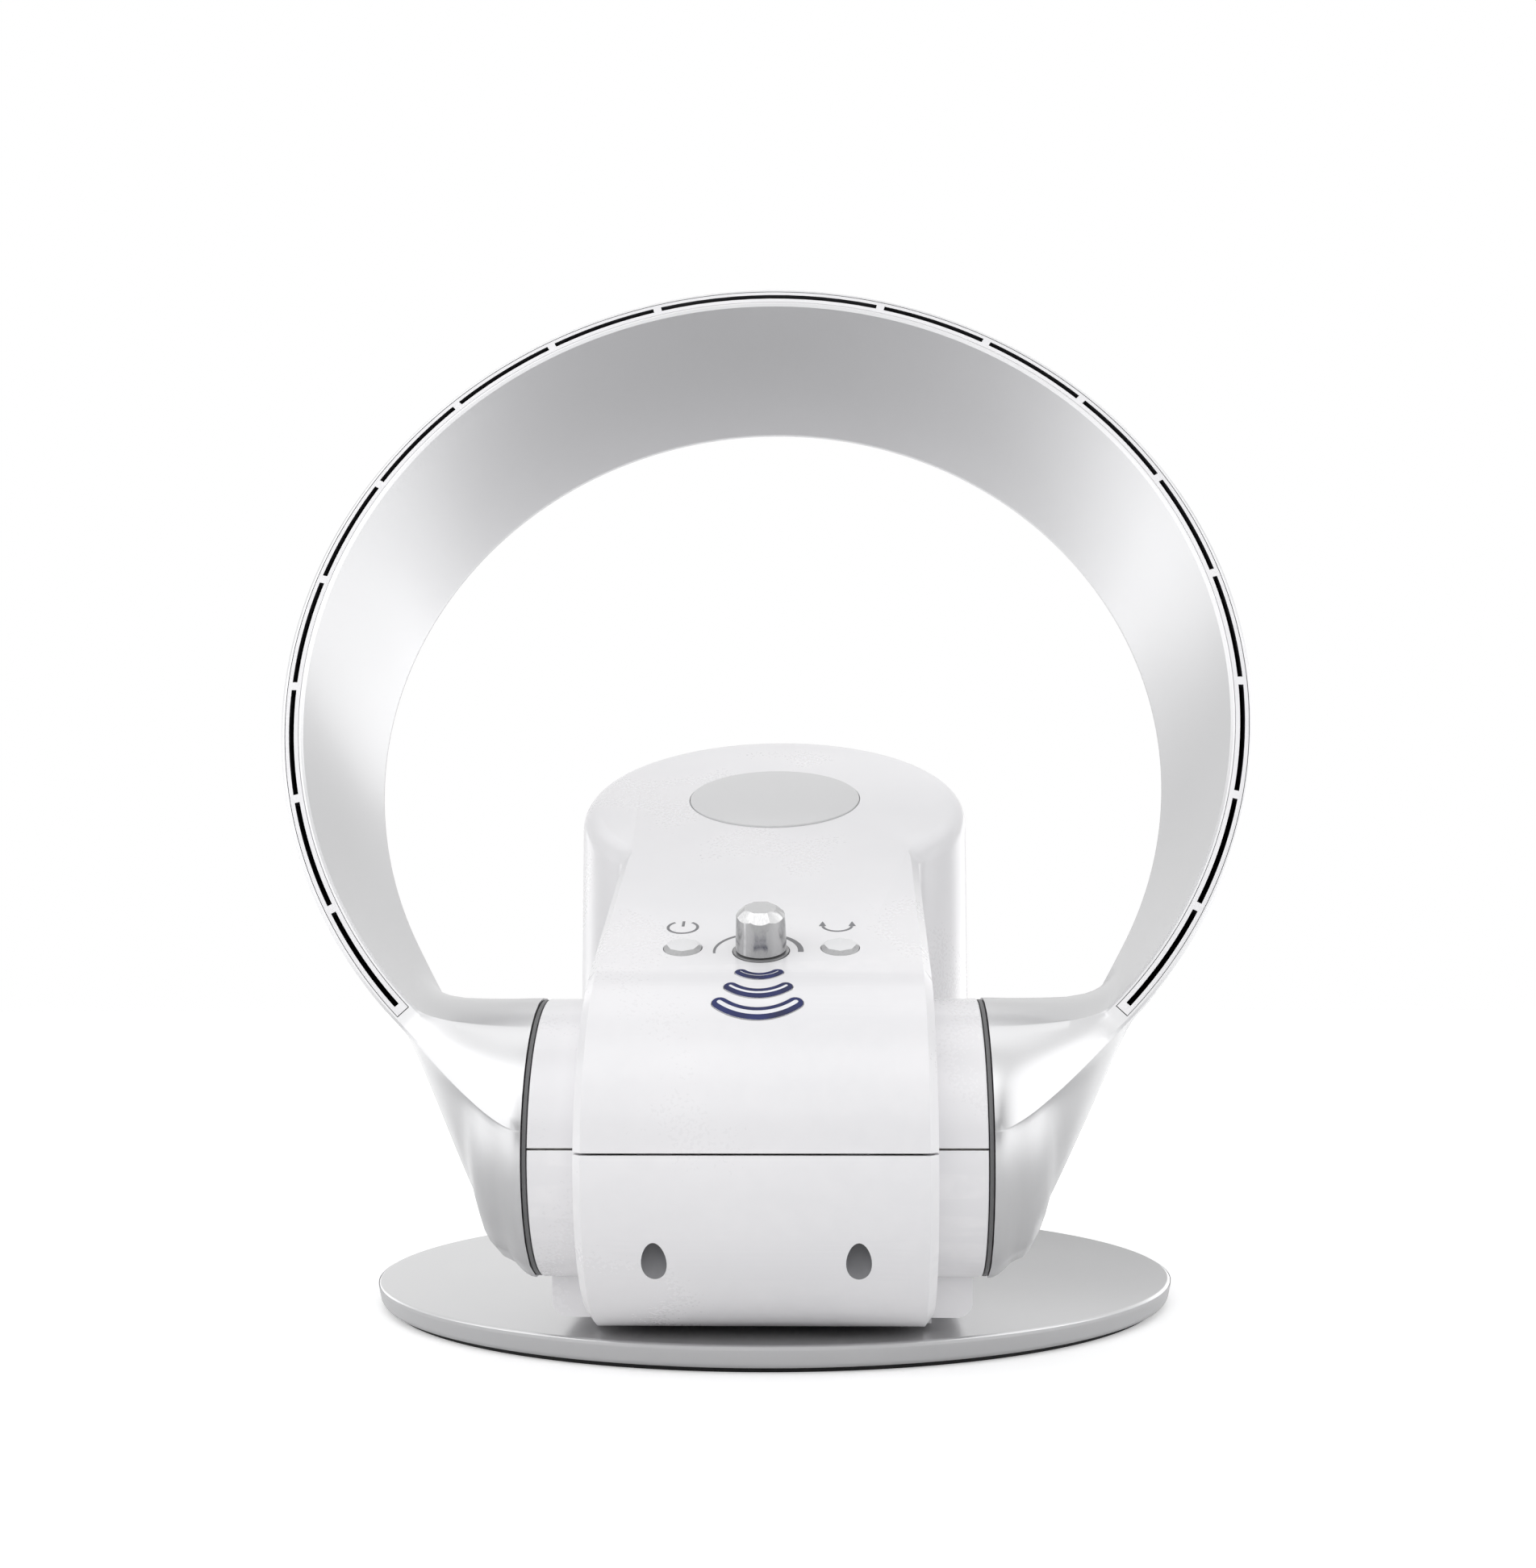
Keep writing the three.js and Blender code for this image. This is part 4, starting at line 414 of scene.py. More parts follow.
def make_moulded_grain():
    """Fine moulding grain: a height for bump, and a slow unevenness of gloss and colour."""
    scales = {"Grain Scale": 900.0, "Drift Scale": 14.0}
    group, nodes, given, leave = shader_group("moulded_grain", scales, ["Height", "Drift"])
    place = nodes.place()
    group.links.new(nodes.noise(place, given["Grain Scale"], 3.0), leave.inputs["Height"])
    group.links.new(nodes.noise(place, given["Drift Scale"], 2.0), leave.inputs["Drift"])
    return group


def make_worn_edge():
    """A mask of the outer edges, broken up as by rubbing."""
    group, nodes, given, leave = shader_group("worn_edge", {"Amount": 0.5}, ["Mask"])
    sharpness = nodes.add("ShaderNodeNewGeometry").outputs["Pointiness"]
    edge = nodes.ranged(sharpness, 0.53, 0.62)
    breakup = nodes.noise(nodes.place(), 160.0, 4.0)
    worn = nodes.math("MULTIPLY", edge, nodes.ranged(breakup, 0.35, 0.65, 0.2, 1.0))
    group.links.new(nodes.math("MULTIPLY", worn, given["Amount"]), leave.inputs["Mask"])
    return group


def make_paint_flake():
    """Metal flakes in a paint: small cells, each with a grey of its own."""
    group, nodes, given, leave = shader_group("paint_flake", {"Scale": 2600.0}, ["Sparkle"])
    place = nodes.place()
    cells = nodes.add("ShaderNodeTexVoronoi", {"Vector": place, "Scale": given["Scale"]})
    grey = nodes.add("ShaderNodeSeparateColor", {"Color": cells.outputs["Color"]}).outputs["Red"]
    group.links.new(grey, leave.inputs["Sparkle"])
    return group


BUMP_DEPTH = 0.00005
MOULDED_GRAIN = make_moulded_grain()
WORN_EDGE = make_worn_edge()
PAINT_FLAKE = make_paint_flake()


def started(name):
    """A material with a Principled BSDF linked to its output."""
    material = bpy.data.materials.new(name)
    material.use_nodes = True
    nodes = Nodes(material.node_tree)
    shader = material.node_tree.nodes["Principled BSDF"]
    return material, nodes, shader


def given_to(nodes, node, **inputs):
    """Gives a node inputs whose names are written with _ for a space."""
    nodes.give(node, {key.replace("_", " "): value for key, value in inputs.items()})


def grained(nodes, grain_scale, drift_scale):
    group = nodes.add("ShaderNodeGroup", node_tree=MOULDED_GRAIN)
    given_to(nodes, group, Grain_Scale=grain_scale, Drift_Scale=drift_scale)
    return group.outputs["Height"], group.outputs["Drift"]


def edge_mask(nodes, amount):
    group = nodes.add("ShaderNodeGroup", node_tree=WORN_EDGE)
    given_to(nodes, group, Amount=amount)
    return group.outputs["Mask"]


def bumped(nodes, shader, height, strength):
    bump = nodes.add("ShaderNodeBump", {"Height": height, "Strength": strength, "Distance": BUMP_DEPTH})
    given_to(nodes, shader, Normal=bump.outputs["Normal"])


def plastic(name, colour, shade, edge, roughness, grain=900.0, bump=0.15, coat=0.0):
    """Moulded plastic: colour drifts to a shade of itself, edges rub paler or darker, gloss is uneven."""
    material, nodes, shader = started(name)
    height, drift = grained(nodes, grain, 14.0)
    body = nodes.mixed(nodes.ranged(drift, 0.35, 0.65), (*colour, 1), (*shade, 1))
    whole = nodes.mixed(edge_mask(nodes, 0.6), body, (*edge, 1))
    gloss = nodes.math("ADD", nodes.ranged(drift, 0.3, 0.7, -0.02, 0.03), roughness)
    roughened = nodes.math("ADD", gloss, nodes.math("MULTIPLY", height, 0.04))
    given_to(nodes, shader, Base_Color=whole, Roughness=roughened, Coat_Weight=coat, Coat_Roughness=0.12)
    bumped(nodes, shader, height, bump)
    return material


def silver_paint(name, colour, shade, metallic, roughness):
    """Fine metallic paint under a clear coat."""
    material, nodes, shader = started(name)
    height, drift = grained(nodes, 1100.0, 9.0)
    flake = nodes.add("ShaderNodeGroup", node_tree=PAINT_FLAKE).outputs["Sparkle"]
    body = nodes.mixed(nodes.ranged(drift, 0.35, 0.65), (*colour, 1), (*shade, 1))
    speckled = nodes.mixed(nodes.math("MULTIPLY", flake, 0.02), body, (0.8, 0.8, 0.81, 1))
    whole = nodes.mixed(edge_mask(nodes, 0.12), speckled, (0.7, 0.7, 0.71, 1))
    gloss = nodes.math("ADD", nodes.ranged(flake, 0.0, 1.0, -0.015, 0.015), roughness)
    given_to(nodes, shader, Base_Color=whole, Roughness=gloss, Metallic=metallic)
    given_to(nodes, shader, Coat_Weight=0.25, Coat_Roughness=0.15)
    bumped(nodes, shader, height, 0.04)
    return material


def metal(name, colour, dark, roughness, stretch=(1, 1, 1), streak=700.0):
    """Bare metal with drawn or turned streaks and rubbed edges."""
    material, nodes, shader = started(name)
    drawn = nodes.add("ShaderNodeMapping", {"Vector": nodes.place(), "Scale": stretch}).outputs["Vector"]
    streaks = nodes.noise(drawn, streak, 4.0)
    body = nodes.mixed(nodes.ranged(streaks, 0.3, 0.7, 0.0, 0.5), (*colour, 1), (*dark, 1))
    whole = nodes.mixed(edge_mask(nodes, 0.5), body, (0.9, 0.9, 0.9, 1))
    gloss = nodes.math("ADD", nodes.ranged(streaks, 0.3, 0.7, -0.06, 0.08), roughness)
    given_to(nodes, shader, Base_Color=whole, Roughness=gloss, Metallic=1.0)
    bumped(nodes, shader, streaks, 0.12)
    return material


def circuit_board(name):
    """Green solder mask over copper tracks."""
    material, nodes, shader = started(name)
    place = nodes.place()
    tracks = nodes.add("ShaderNodeTexBrick", {"Vector": place, "Scale": 160.0, "Mortar Size": 0.06})
    height, drift = grained(nodes, 700.0, 40.0)
    mask = nodes.mixed(nodes.ranged(drift, 0.3, 0.7), (0.012, 0.1, 0.045, 1), (0.02, 0.14, 0.06, 1))
    whole = nodes.mixed(tracks.outputs["Fac"], mask, (0.05, 0.24, 0.1, 1))
    given_to(nodes, shader, Base_Color=whole, Roughness=nodes.ranged(height, 0.0, 1.0, 0.3, 0.5))
    bumped(nodes, shader, tracks.outputs["Fac"], 0.3)
    return material


WHITE_SHELL = plastic("white_shell", (0.83, 0.822, 0.835), (0.8, 0.795, 0.81), (0.87, 0.86, 0.87), 0.26,
                      coat=0.15)
RING_SILVER = silver_paint("ring_silver", (0.56, 0.56, 0.567), (0.54, 0.54, 0.547), 0.85, 0.34)
# Darker silver for the inner half of the ring's rear lip: painted shade where the lip rounds away from the
# light.
LIP_PAINTED_SHADE = silver_paint("lip_painted_shade", (0.2, 0.2, 0.203), (0.18, 0.18, 0.183), 0.85, 0.34)
BASE_SILVER = silver_paint("base_silver", (0.58, 0.58, 0.587), (0.56, 0.56, 0.567), 0.8, 0.3)
KNOB_METAL = metal("knob_metal", (0.46, 0.46, 0.464), (0.38, 0.38, 0.384), 0.2, (1, 1, 0.05), 2500.0)
SCREW_STEEL = metal("screw_steel", (0.45, 0.46, 0.48), (0.3, 0.31, 0.33), 0.38)
FOOT_RUBBER = plastic("foot_rubber", (0.012, 0.012, 0.013), (0.02, 0.02, 0.02), (0.05, 0.05, 0.05), 0.75,
                      500.0, 0.5)
# Dark grey for the rings at the pivots: painted shadow of the gap between the legs and the trunnions.
SEAL_PAINTED_SHADOW = plastic("seal_painted_shadow", (0.14, 0.14, 0.143), (0.12, 0.12, 0.123), (0.2, 0.2, 0.2), 0.5,
                      700.0, 0.3)
# Black plastic for the real black parts; also painted shade on the air channel's inner skin and on the walls
# of the rim's slots.
BLACK_AND_PAINTED_SHADE = plastic("black_plastic_and_painted_shade", (0.016, 0.016, 0.018), (0.026, 0.026, 0.03), (0.06, 0.06, 0.065), 0.45)
COLLAR_DARK = plastic("collar_dark", (0.2, 0.2, 0.205), (0.17, 0.17, 0.175), (0.3, 0.3, 0.3), 0.2, coat=0.5)
KEY_GREY = plastic("key_grey", (0.76, 0.76, 0.77), (0.72, 0.72, 0.73), (0.8, 0.8, 0.81), 0.22, coat=0.3)
# Darker grey for the near, lower facets of the keys: painted shade on the facets that face away from the
# light.
KEY_PAINTED_SHADE = plastic("key_painted_shade", (0.42, 0.42, 0.425), (0.38, 0.38, 0.385), (0.5, 0.5, 0.5), 0.25, coat=0.3)
BADGE_GREY = plastic("badge_grey", (0.62, 0.62, 0.625), (0.6, 0.6, 0.605), (0.74, 0.74, 0.745), 0.3, coat=0.2)
PRINT_GREY = plastic("print_grey", (0.16, 0.16, 0.17), (0.2, 0.2, 0.21), (0.2, 0.2, 0.21), 0.5)
# Dark grey for the walls of the front screw bores: painted shade in the recesses.
BORE_PAINTED_SHADE = plastic("bore_painted_shade", (0.22, 0.22, 0.23), (0.2, 0.2, 0.21), (0.3, 0.3, 0.31), 0.6)
WINDOW_NAVY = plastic("window_navy", (0.002, 0.005, 0.08), (0.003, 0.005, 0.03), (0.01, 0.02, 0.14), 0.6,
                      bump=0.05)
WINDOW_CLEAR = plastic("window_clear", (0.72, 0.73, 0.78), (0.8, 0.8, 0.83), (0.85, 0.85, 0.88), 0.14,
                       bump=0.05, coat=0.5)
NATURAL_NYLON = plastic("natural_nylon", (0.78, 0.75, 0.65), (0.72, 0.69, 0.6), (0.85, 0.83, 0.76), 0.42)
BOARD_GREEN = circuit_board("board_green")
SLOT_FINISHES = {
    "white_plastic": WHITE_SHELL,
    "silver_paint": RING_SILVER,
    "bright_metal": KNOB_METAL,
    "steel": SCREW_STEEL,
    "dark_rubber": FOOT_RUBBER,
    "black_plastic": BLACK_AND_PAINTED_SHADE,
    "grey_plastic": KEY_GREY,
    "window_tint": WINDOW_NAVY,
    "natural_plastic": NATURAL_NYLON,
    "circuit_board": BOARD_GREEN,
}


def finish_frame_nodes():
    """Gives each node of the frame the procedural finish of its slot."""
    for part in frame["record"]["subparts"]:
        node = frame["nodes"][part["node"]]
        finish = SLOT_FINISHES[part["material_slot"]]
        if not node.material_slots:
            node.data.materials.append(finish)
        for material_slot in node.material_slots:
            material_slot.material = finish


# ---- Housing ----
def panel_height(y, sink):
    return HUB.z + (DRUM_RADIUS - sink + (y - HUB.y) * math.sin(PANEL_SLOPE)) / math.cos(PANEL_SLOPE)


def crease_y(sink):
    return HUB.y - (DRUM_RADIUS - sink) * math.sin(PANEL_SLOPE)


def drum(sink, turn):
    """The round front about the hub axis, chamfered at both sides."""
    r, w = DRUM_RADIUS - sink, DRUM_HALF_WIDTH - sink
    inner, outer = r - DRUM_CHAMFER_DROP, w - DRUM_CHAMFER_WIDTH
    corners = [(0, -w), (inner, -w), (r, -outer), (r, outer), (inner, w), (0, w)]
    return turned("drum", corners, AT_HUB @ Matrix.Rotation(turn, 4, "X") @ ABOUT_X)


def plan_stations(front):
    """Plan of the neck and rear cylinder: each point's share of the rear edge's round, and its place."""
    corner_x = DRUM_HALF_WIDTH + NECK_BLEND
    corner_y = -math.sqrt((HOUSING_RADIUS + NECK_BLEND) ** 2 - corner_x**2)
    meeting = math.atan2(corner_y, corner_x)
    blend_edge = 0.6
    half = []
    straight_steps, blend_steps, rear_steps = 12, 16, 48
    for i in range(straight_steps):
        y = lerp(front, corner_y, i / straight_steps)
        half.append((0, lambda o, y=y: (DRUM_HALF_WIDTH - o, y)))
    for i in range(blend_steps + 1):
        t = i / blend_steps
        a = math.pi + t * meeting

        def on_blend(o, a=a):
            return corner_x + (NECK_BLEND + o) * math.cos(a), corner_y + (NECK_BLEND + o) * math.sin(a)

        half.append((blend_edge * t, on_blend))
    for i in range(1, rear_steps + 1):
        t = i / rear_steps
        a = lerp(meeting, math.pi / 2, t)

        def on_rear(o, a=a):
            return (HOUSING_RADIUS - o) * math.cos(a), (HOUSING_RADIUS - o) * math.sin(a)

        half.append((min(1, blend_edge + 2 * t), on_rear))
    mirrored = [(edge, lambda o, at=at: (-at(o)[0], at(o)[1])) for edge, at in reversed(half[:-1])]
    return half + mirrored


def rear_form(sink, bottom, front):
    """Neck and rear cylinder under the sloping panel, whose upper edge turns from chamfer to round."""
    stations = plan_stations(front)

    def row(width_share, drop_share):
        points = []
        for edge, at in stations:
            width = lerp(DRUM_CHAMFER_WIDTH, REAR_EDGE_ROUND - sink, edge)
            drop = lerp(DRUM_CHAMFER_DROP, REAR_EDGE_ROUND - sink, edge)
            x, y = at(sink + width * width_share(edge))
            points.append((x, y, panel_height(y, sink) - drop * drop_share(edge)))
        return points

    rows = [[(*at(sink), bottom) for _, at in stations]]
    edge_steps = 10
    for k in range(edge_steps + 1):
        t = k / edge_steps
        turn = t * math.pi / 2
        rows.append(row(
            lambda edge, t=t, turn=turn: lerp(t, 1 - math.cos(turn), edge),
            lambda edge, t=t, turn=turn: lerp(1 - t, 1 - math.sin(turn), edge),
        ))
    return skinned("rear", rows)


def sill_form(sink):
    """Low shoulders under the trunnions."""
    w, r = SILL_HALF_WIDTH - sink, SILL_CORNER
    bottom, top = HOUSING_BOTTOM + SILL_LIFT + sink, HUB.z - SILL_TOP_DROP - sink
    outline = [(-w, top)]
    corner_steps = 10
    for side in (-1, 1):
        for i in range(corner_steps + 1):
            a = (i if side < 0 else corner_steps - i) / corner_steps * math.pi / 2
            outline.append((side * (w - r + r * math.cos(a)), bottom + r - r * math.sin(a)))
    outline.append((w, top))
    rows = [[(x, y, z) for x, z in outline] for y in (HUB.y - SILL_FRONT + sink, -SILL_REAR_END)]
    return skinned("sill", rows)


def trunnions(radius, half_span, soft=0.0):
    corners = [(0, -half_span), (radius, -half_span, soft), (radius, half_span, soft), (0, half_span)]
    if not soft:
        corners = [corner[:2] for corner in corners]
    return turned("trunnions", corners, AT_HUB @ ABOUT_X)


def bent_bar(half_width, thickness, bend, grow=0.0, lift=0.0):
    """Stations along a bent bar with round ends: (middle x, middle y, across x, across y)."""
    half = thickness / 2
    sweep = math.asin((half_width - half) / bend)
    stations = []
    half += grow
    quarter = math.pi / 2
    bar_steps, end_steps = 24, 12
    for side, shares in ((-1, range(end_steps)), (0, range(bar_steps + 1)), (1, range(1, end_steps + 1))):
        for i in shares:
            if side == 0:
                a, along, width = lerp(-sweep, sweep, i / bar_steps), 0, half
            else:
                turn = quarter * (1 - i / end_steps) if side < 0 else quarter * i / end_steps
                a, along, width = side * sweep, side * half * math.sin(turn), half * math.cos(turn)
            x = bend * math.sin(a) + along * math.cos(a)
            y = bend * (1 - math.cos(a)) + along * math.sin(a) + lift
            stations.append((x, y, -math.sin(a) * width, math.cos(a) * width))
    return stations


def on_drum(x, up, way, radius):
    """A point on the drum: its way down from the drum's top, less up, is measured along the surface."""
    angle = (way - up) / DRUM_RADIUS
    return AT_HUB @ Vector((x, -radius * math.sin(angle), radius * math.cos(angle)))


def window_body(way, half_width, thickness, bend, grow, inner, outer):
    """A window's bar between two radii of the drum."""
    rows = []
    across_steps = 6
    shares = [lerp(-1, 1, i / across_steps) for i in range(across_steps + 1)]
    for x, y, dx, dy in bent_bar(half_width, thickness, bend, grow):
        row = [on_drum(x + dx * s, y + dy * s, way, outer) for s in shares]
        row += [on_drum(x + dx * s, y + dy * s, way, inner) for s in reversed(shares)]
        rows.append(row)
    return skinned("window", rows)


def window_border(way, half_width, thickness, bend):
    """Dark printed border of a window, broader along its lower edge."""
    low, high = DRUM_RADIUS + LENS_PROUD - PRINT_SINK, DRUM_RADIUS + LENS_PROUD + PRINT_HEIGHT
    outer = bent_bar(half_width, thickness, bend)
    lift = (BORDER_BOTTOM - BORDER_TOP) / 2
    inner = bent_bar(half_width - BORDER_SIDE, thickness - BORDER_TOP - BORDER_BOTTOM, bend, lift=lift)

    def loop(stations, radius):
        upper = [(x + dx, y + dy) for x, y, dx, dy in stations]
        lower = [(x - dx, y - dy) for x, y, dx, dy in reversed(stations)]
        return [on_drum(x, y, way, radius) for x, y in upper[:-1] + lower[:-1]]

    corners = ((outer, low), (outer, high), (inner, high), (inner, low))
    return skinned("border", [loop(stations, radius) for stations, radius in corners], around=True)


def grille_sector(clearance, inner, outer):
    half = GRILLE_HALF_ANGLE - clearance / HOUSING_RADIUS
    steps = 96
    angles = [math.pi / 2 - half + 2 * half * i / steps for i in range(steps + 1)]
    bottom, top = GRILLE_BOTTOM + clearance, GRILLE_BOTTOM + GRILLE_HEIGHT - clearance
    rows = []
    for a in angles:
        x, y = math.cos(a), math.sin(a)
        rows.append([(inner * x, inner * y, bottom), (outer * x, outer * y, bottom),
                     (outer * x, outer * y, top), (inner * x, inner * y, top)])
    return skinned("sector", rows)


def make_upper_housing():
    body = joined(
        drum(0, PANEL_SLOPE),
        rear_form(0, HOUSING_BOTTOM, crease_y(0)),
        trunnions(TRUNNION_RADIUS, TRUNNION_HALF_SPAN, TRUNNION_EDGE),
    )
    cavity = joined(
        drum(HOUSING_WALL, PANEL_SLOPE),
        rear_form(HOUSING_WALL, HOUSING_BOTTOM - OVERRUN, crease_y(HOUSING_WALL)),
        trunnions(TEE_BORE, TRUNNION_HALF_SPAN + 1),
    )
    seam = HUB.z + SEAM_GAP / 2
    past = DRUM_RADIUS + OVERRUN
    badge_seat = DRUM_RADIUS - BADGE_THICKNESS + SEAT_GAP
    holes = [
        bar((0, KNOB_Y), SHAFT_HOLE, 0, past, PANEL),
        bar((0, KNOB_Y), COLLAR_RADIUS + SEAT_GAP, DRUM_RADIUS - COLLAR_SEAT, past, PANEL, MEDIUM),
        bar((0, BADGE_Y), BADGE_RADIUS + SEAT_GAP, badge_seat, past, PANEL, FINE),
    ]
    for x in (-BUTTON_X, BUTTON_X):
        deep = DRUM_RADIUS - BUTTON_HOLE_DEPTH
        holes.append(bar((x, BUTTON_Y), BUTTON_RADIUS + SEAT_GAP, deep, past, PANEL, MEDIUM))
    holes.append(grille_sector(0, HOUSING_RADIUS - 2 * OVERRUN, HOUSING_RADIUS + OVERRUN))
    holes.append(slab("below_seam", HOUSING_REACH, -OVERRUN, seam))
    floor = DRUM_RADIUS - LENS_THICKNESS + LENS_PROUD - SEAT_GAP
    for _, way, half_width, thickness, bend in WINDOWS:
        holes.append(window_body(way, half_width, thickness, bend, SEAT_GAP, floor, past))
    cut(body, cavity, *holes)
    dressed(body, "upper_housing", "housing", WHITE_SHELL, ["upper_shell"])


def make_lower_housing():
    body = joined(
        drum(0, 0),
        rear_form(0, HOUSING_BOTTOM, HUB.y),
        sill_form(0),
        trunnions(TRUNNION_RADIUS, TRUNNION_HALF_SPAN, TRUNNION_EDGE),
    )
    hollow = joined(
        drum(HOUSING_WALL, 0),
        rear_form(HOUSING_WALL, HOUSING_FLOOR, HUB.y),
        sill_form(HOUSING_WALL),
    )
    seam = HUB.z - SEAM_GAP / 2
    above_seam = slab("above_seam", HOUSING_REACH, seam, 2 * HUB.z + HOUSING_RADIUS * 2)
    cut(body, hollow, trunnions(TEE_BORE, TRUNNION_HALF_SPAN + 1), above_seam)
    inside = joined(drum(HOUSING_WALL / 2, 0), rear_form(HOUSING_WALL / 2, HOUSING_BOTTOM + 1, HUB.y))
    bosses = gathered([bar(at, BOSS_RADIUS, HOUSING_BOTTOM, seam) for at in FRONT_SCREWS + REAR_SCREWS])
    bosses = combined(bosses, [inside], "INTERSECT")
    cut(bosses, trunnions(TEE_BORE, TRUNNION_HALF_SPAN + 1))
    joined(body, bosses)
    front_seat = seam - SCREW_HEAD_DROP
    rear_seat = HOUSING_FLOOR + SCREW_HEAD_HEIGHT + 2 * SEAT_GAP
    bores = [bar(at, SCREW_BORE, HOUSING_BOTTOM - OVERRUN, front_seat) for at in FRONT_SCREWS]
    bores += [bar(at, SCREW_BORE, HOUSING_BOTTOM - OVERRUN, rear_seat) for at in REAR_SCREWS]
    bores += [bar(at, SCREW_SHANK_HOLE, rear_seat - 1, seam + 1) for at in FRONT_SCREWS + REAR_SCREWS]
    post_hole = bar((0, 0), POST_RADIUS, HOUSING_BOTTOM - OVERRUN, HOUSING_FLOOR + 1, segments=MEDIUM)
    to_rear = Matrix.Translation((0, 0, INLET_HEIGHT)) @ Matrix.Rotation(-math.pi / 2, 4, "X")
    inlet_hole = bar((0, 0), INLET_HOLE, HOUSING_RADIUS / 2, HOUSING_RADIUS + OVERRUN, to_rear)
    cut(body, *bores, post_hole, inlet_hole)
    dressed(body, "lower_housing", "housing", WHITE_SHELL, ["lower_shell"])

    # The walls of the front screw bores take a dark grey: painted shade inside the recesses.
    def in_bore(p):
        from_axis = min(math.hypot(p.x - at.x, p.y - at.y) for at in FRONT_SCREWS)
        return p.z > HOUSING_BOTTOM and from_axis < SCREW_BORE + FACE_REACH

    shaded(body, BORE_PAINTED_SHADE, in_bore)


def make_rear_grille():
    panel = grille_sector(SEAT_GAP, HOUSING_RADIUS - GRILLE_THICKNESS, HOUSING_RADIUS)
    row_height = (GRILLE_HEIGHT - 3 * GRILLE_BAND) / 2
    slots = []
    for row in range(2):
        bottom = GRILLE_BOTTOM + GRILLE_BAND + row * (row_height + GRILLE_BAND)
        for column in range(GRILLE_COLUMNS):
            angle = (column - (GRILLE_COLUMNS - 1) / 2) * GRILLE_PITCH / HOUSING_RADIUS
            half, top = GRILLE_SLOT / 2, bottom + row_height
            corners = [(-half, bottom), (half, bottom), (half, top), (-half, top)]
            corners = [(*corner, GRILLE_SLOT_END) for corner in corners]
            rows = []
            for y in (HOUSING_RADIUS - 2 * OVERRUN, HOUSING_RADIUS + OVERRUN):
                rows.append([(x, y, z) for x, z in softened(corners)])
            slots.append(skinned("slot", rows, Matrix.Rotation(angle, 4, "Z")))
    cut(panel, gathered(slots))
    dressed(panel, "rear_grille", "housing", WHITE_SHELL, ["intake_grille"])


# Dark rings between the legs and the trunnions, which paint the shadow of the gap there.
def make_seals():
    for side, word in ((-1, "left"), (1, "right")):
        inner = side * (TRUNNION_HALF_SPAN + SEAT_GAP)
        outer = inner + side * SEAL_THICKNESS
        ring = band(SEAL_INNER, SEAL_OUTER, inner, outer, (0, SOFT_EDGE, SOFT_EDGE, 0), AT_HUB @ ABOUT_X)
        dressed(ring, f"{word}_pivot_seal", "housing", SEAL_PAINTED_SHADOW, [f"trunnion_seal_{word}"])


# ---- Base ----
def base_screw_holes(bottom, top, radius):
    angles = [math.pi / 6 + k * 2 * math.pi / 3 for k in range(3)]
    places = [(SCREW_CIRCLE * math.cos(a), SCREW_CIRCLE * math.sin(a)) for a in angles]
    return [bar(at, radius, bottom, top) for at in places]


def make_base():
    side = BASE_RADIUS - BASE_SIDE_TUCK
    cover = turned("cover", [
        (0, BASE_TOP - BASE_WALL),
        (side - BASE_WALL, BASE_TOP - BASE_WALL),
        (side - BASE_WALL, FOOT_TOP),
        (side, FOOT_TOP, FOOT_EDGE),
        (BASE_RADIUS - BASE_SIDE_TUCK / 2, FOOT_TOP + BASE_SIDE_TUCK / 2, BASE_LIP_EDGE),
        (BASE_RADIUS, BASE_TOP - BASE_TOP_ROUND, BASE_SIDE_EDGE),
        (BASE_RADIUS, BASE_TOP, BASE_TOP_ROUND),
        (0, BASE_TOP),
    ], segments=BASE_SEGMENTS)
    cut(cover, *base_screw_holes(0, BASE_TOP + 1, SCREW_SHANK_HOLE))
    dressed(cover, "base_disc", "base", BASE_SILVER, ["base_cover"])
    inner = side - BASE_WALL - SEAT_GAP
    plate_top = FOOT_TOP + BOTTOM_PLATE - SEAT_GAP
    plate = turned("plate", [(0, FOOT_TOP), (inner, FOOT_TOP, SOFT_EDGE), (inner, plate_top), (0, plate_top)])
    cut(plate, *base_screw_holes(0, BASE_TOP, SCREW_HOLE))
    dressed(plate, "underside_plate", "base", BLACK_AND_PAINTED_SHADE, ["bottom_plate"])
    foot = band(inner - FOOT_WIDTH, inner, 0, FOOT_TOP - SEAT_GAP, (FOOT_EDGE, FOOT_EDGE, 0, 0))
    dressed(foot, "foot_band", "base", FOOT_RUBBER, ["foot_ring"])
    glide_bottom, glide_top = BASE_TOP + SEAT_GAP, HOUSING_BOTTOM - SEAT_GAP
    glide = band(GLIDE_INNER, GLIDE_OUTER, glide_bottom, glide_top, (0, 0, SOFT_EDGE, SOFT_EDGE))
    dressed(glide, "swing_glide", "base", NATURAL_NYLON, ["glide_ring"])


# ---- Air ring ----
def channel_stations():
    """Stations round the channel: wall, share of the way to the rear, and angle round the hub disc."""
    shares = [0, 0.012] + [k / 12 for k in range(1, 12)] + [0.988, 1]
    lip_shares = [k / LIP_STEPS for k in range(1, LIP_STEPS)]
    stations = [("inner", t, lerp(*INNER_HUB_ANGLES, t)) for t in shares]
    stations += [("lip", t, lerp(*LIP_HUB_ANGLES, t)) for t in lip_shares]
    stations += [("outer", t, lerp(*OUTER_HUB_ANGLES, t**HOLLOW_POWER)) for t in reversed(shares)]
    stations += [("front", t, lerp(*FRONT_HUB_ANGLES, t)) for t in (0, 0.25, 0.5, 0.75, 1)]
    return stations


def depth_share(wall, t):
    """A station's share of the way from the front to the rear."""
    return {"lip": 1, "front": 0}.get(wall, t)


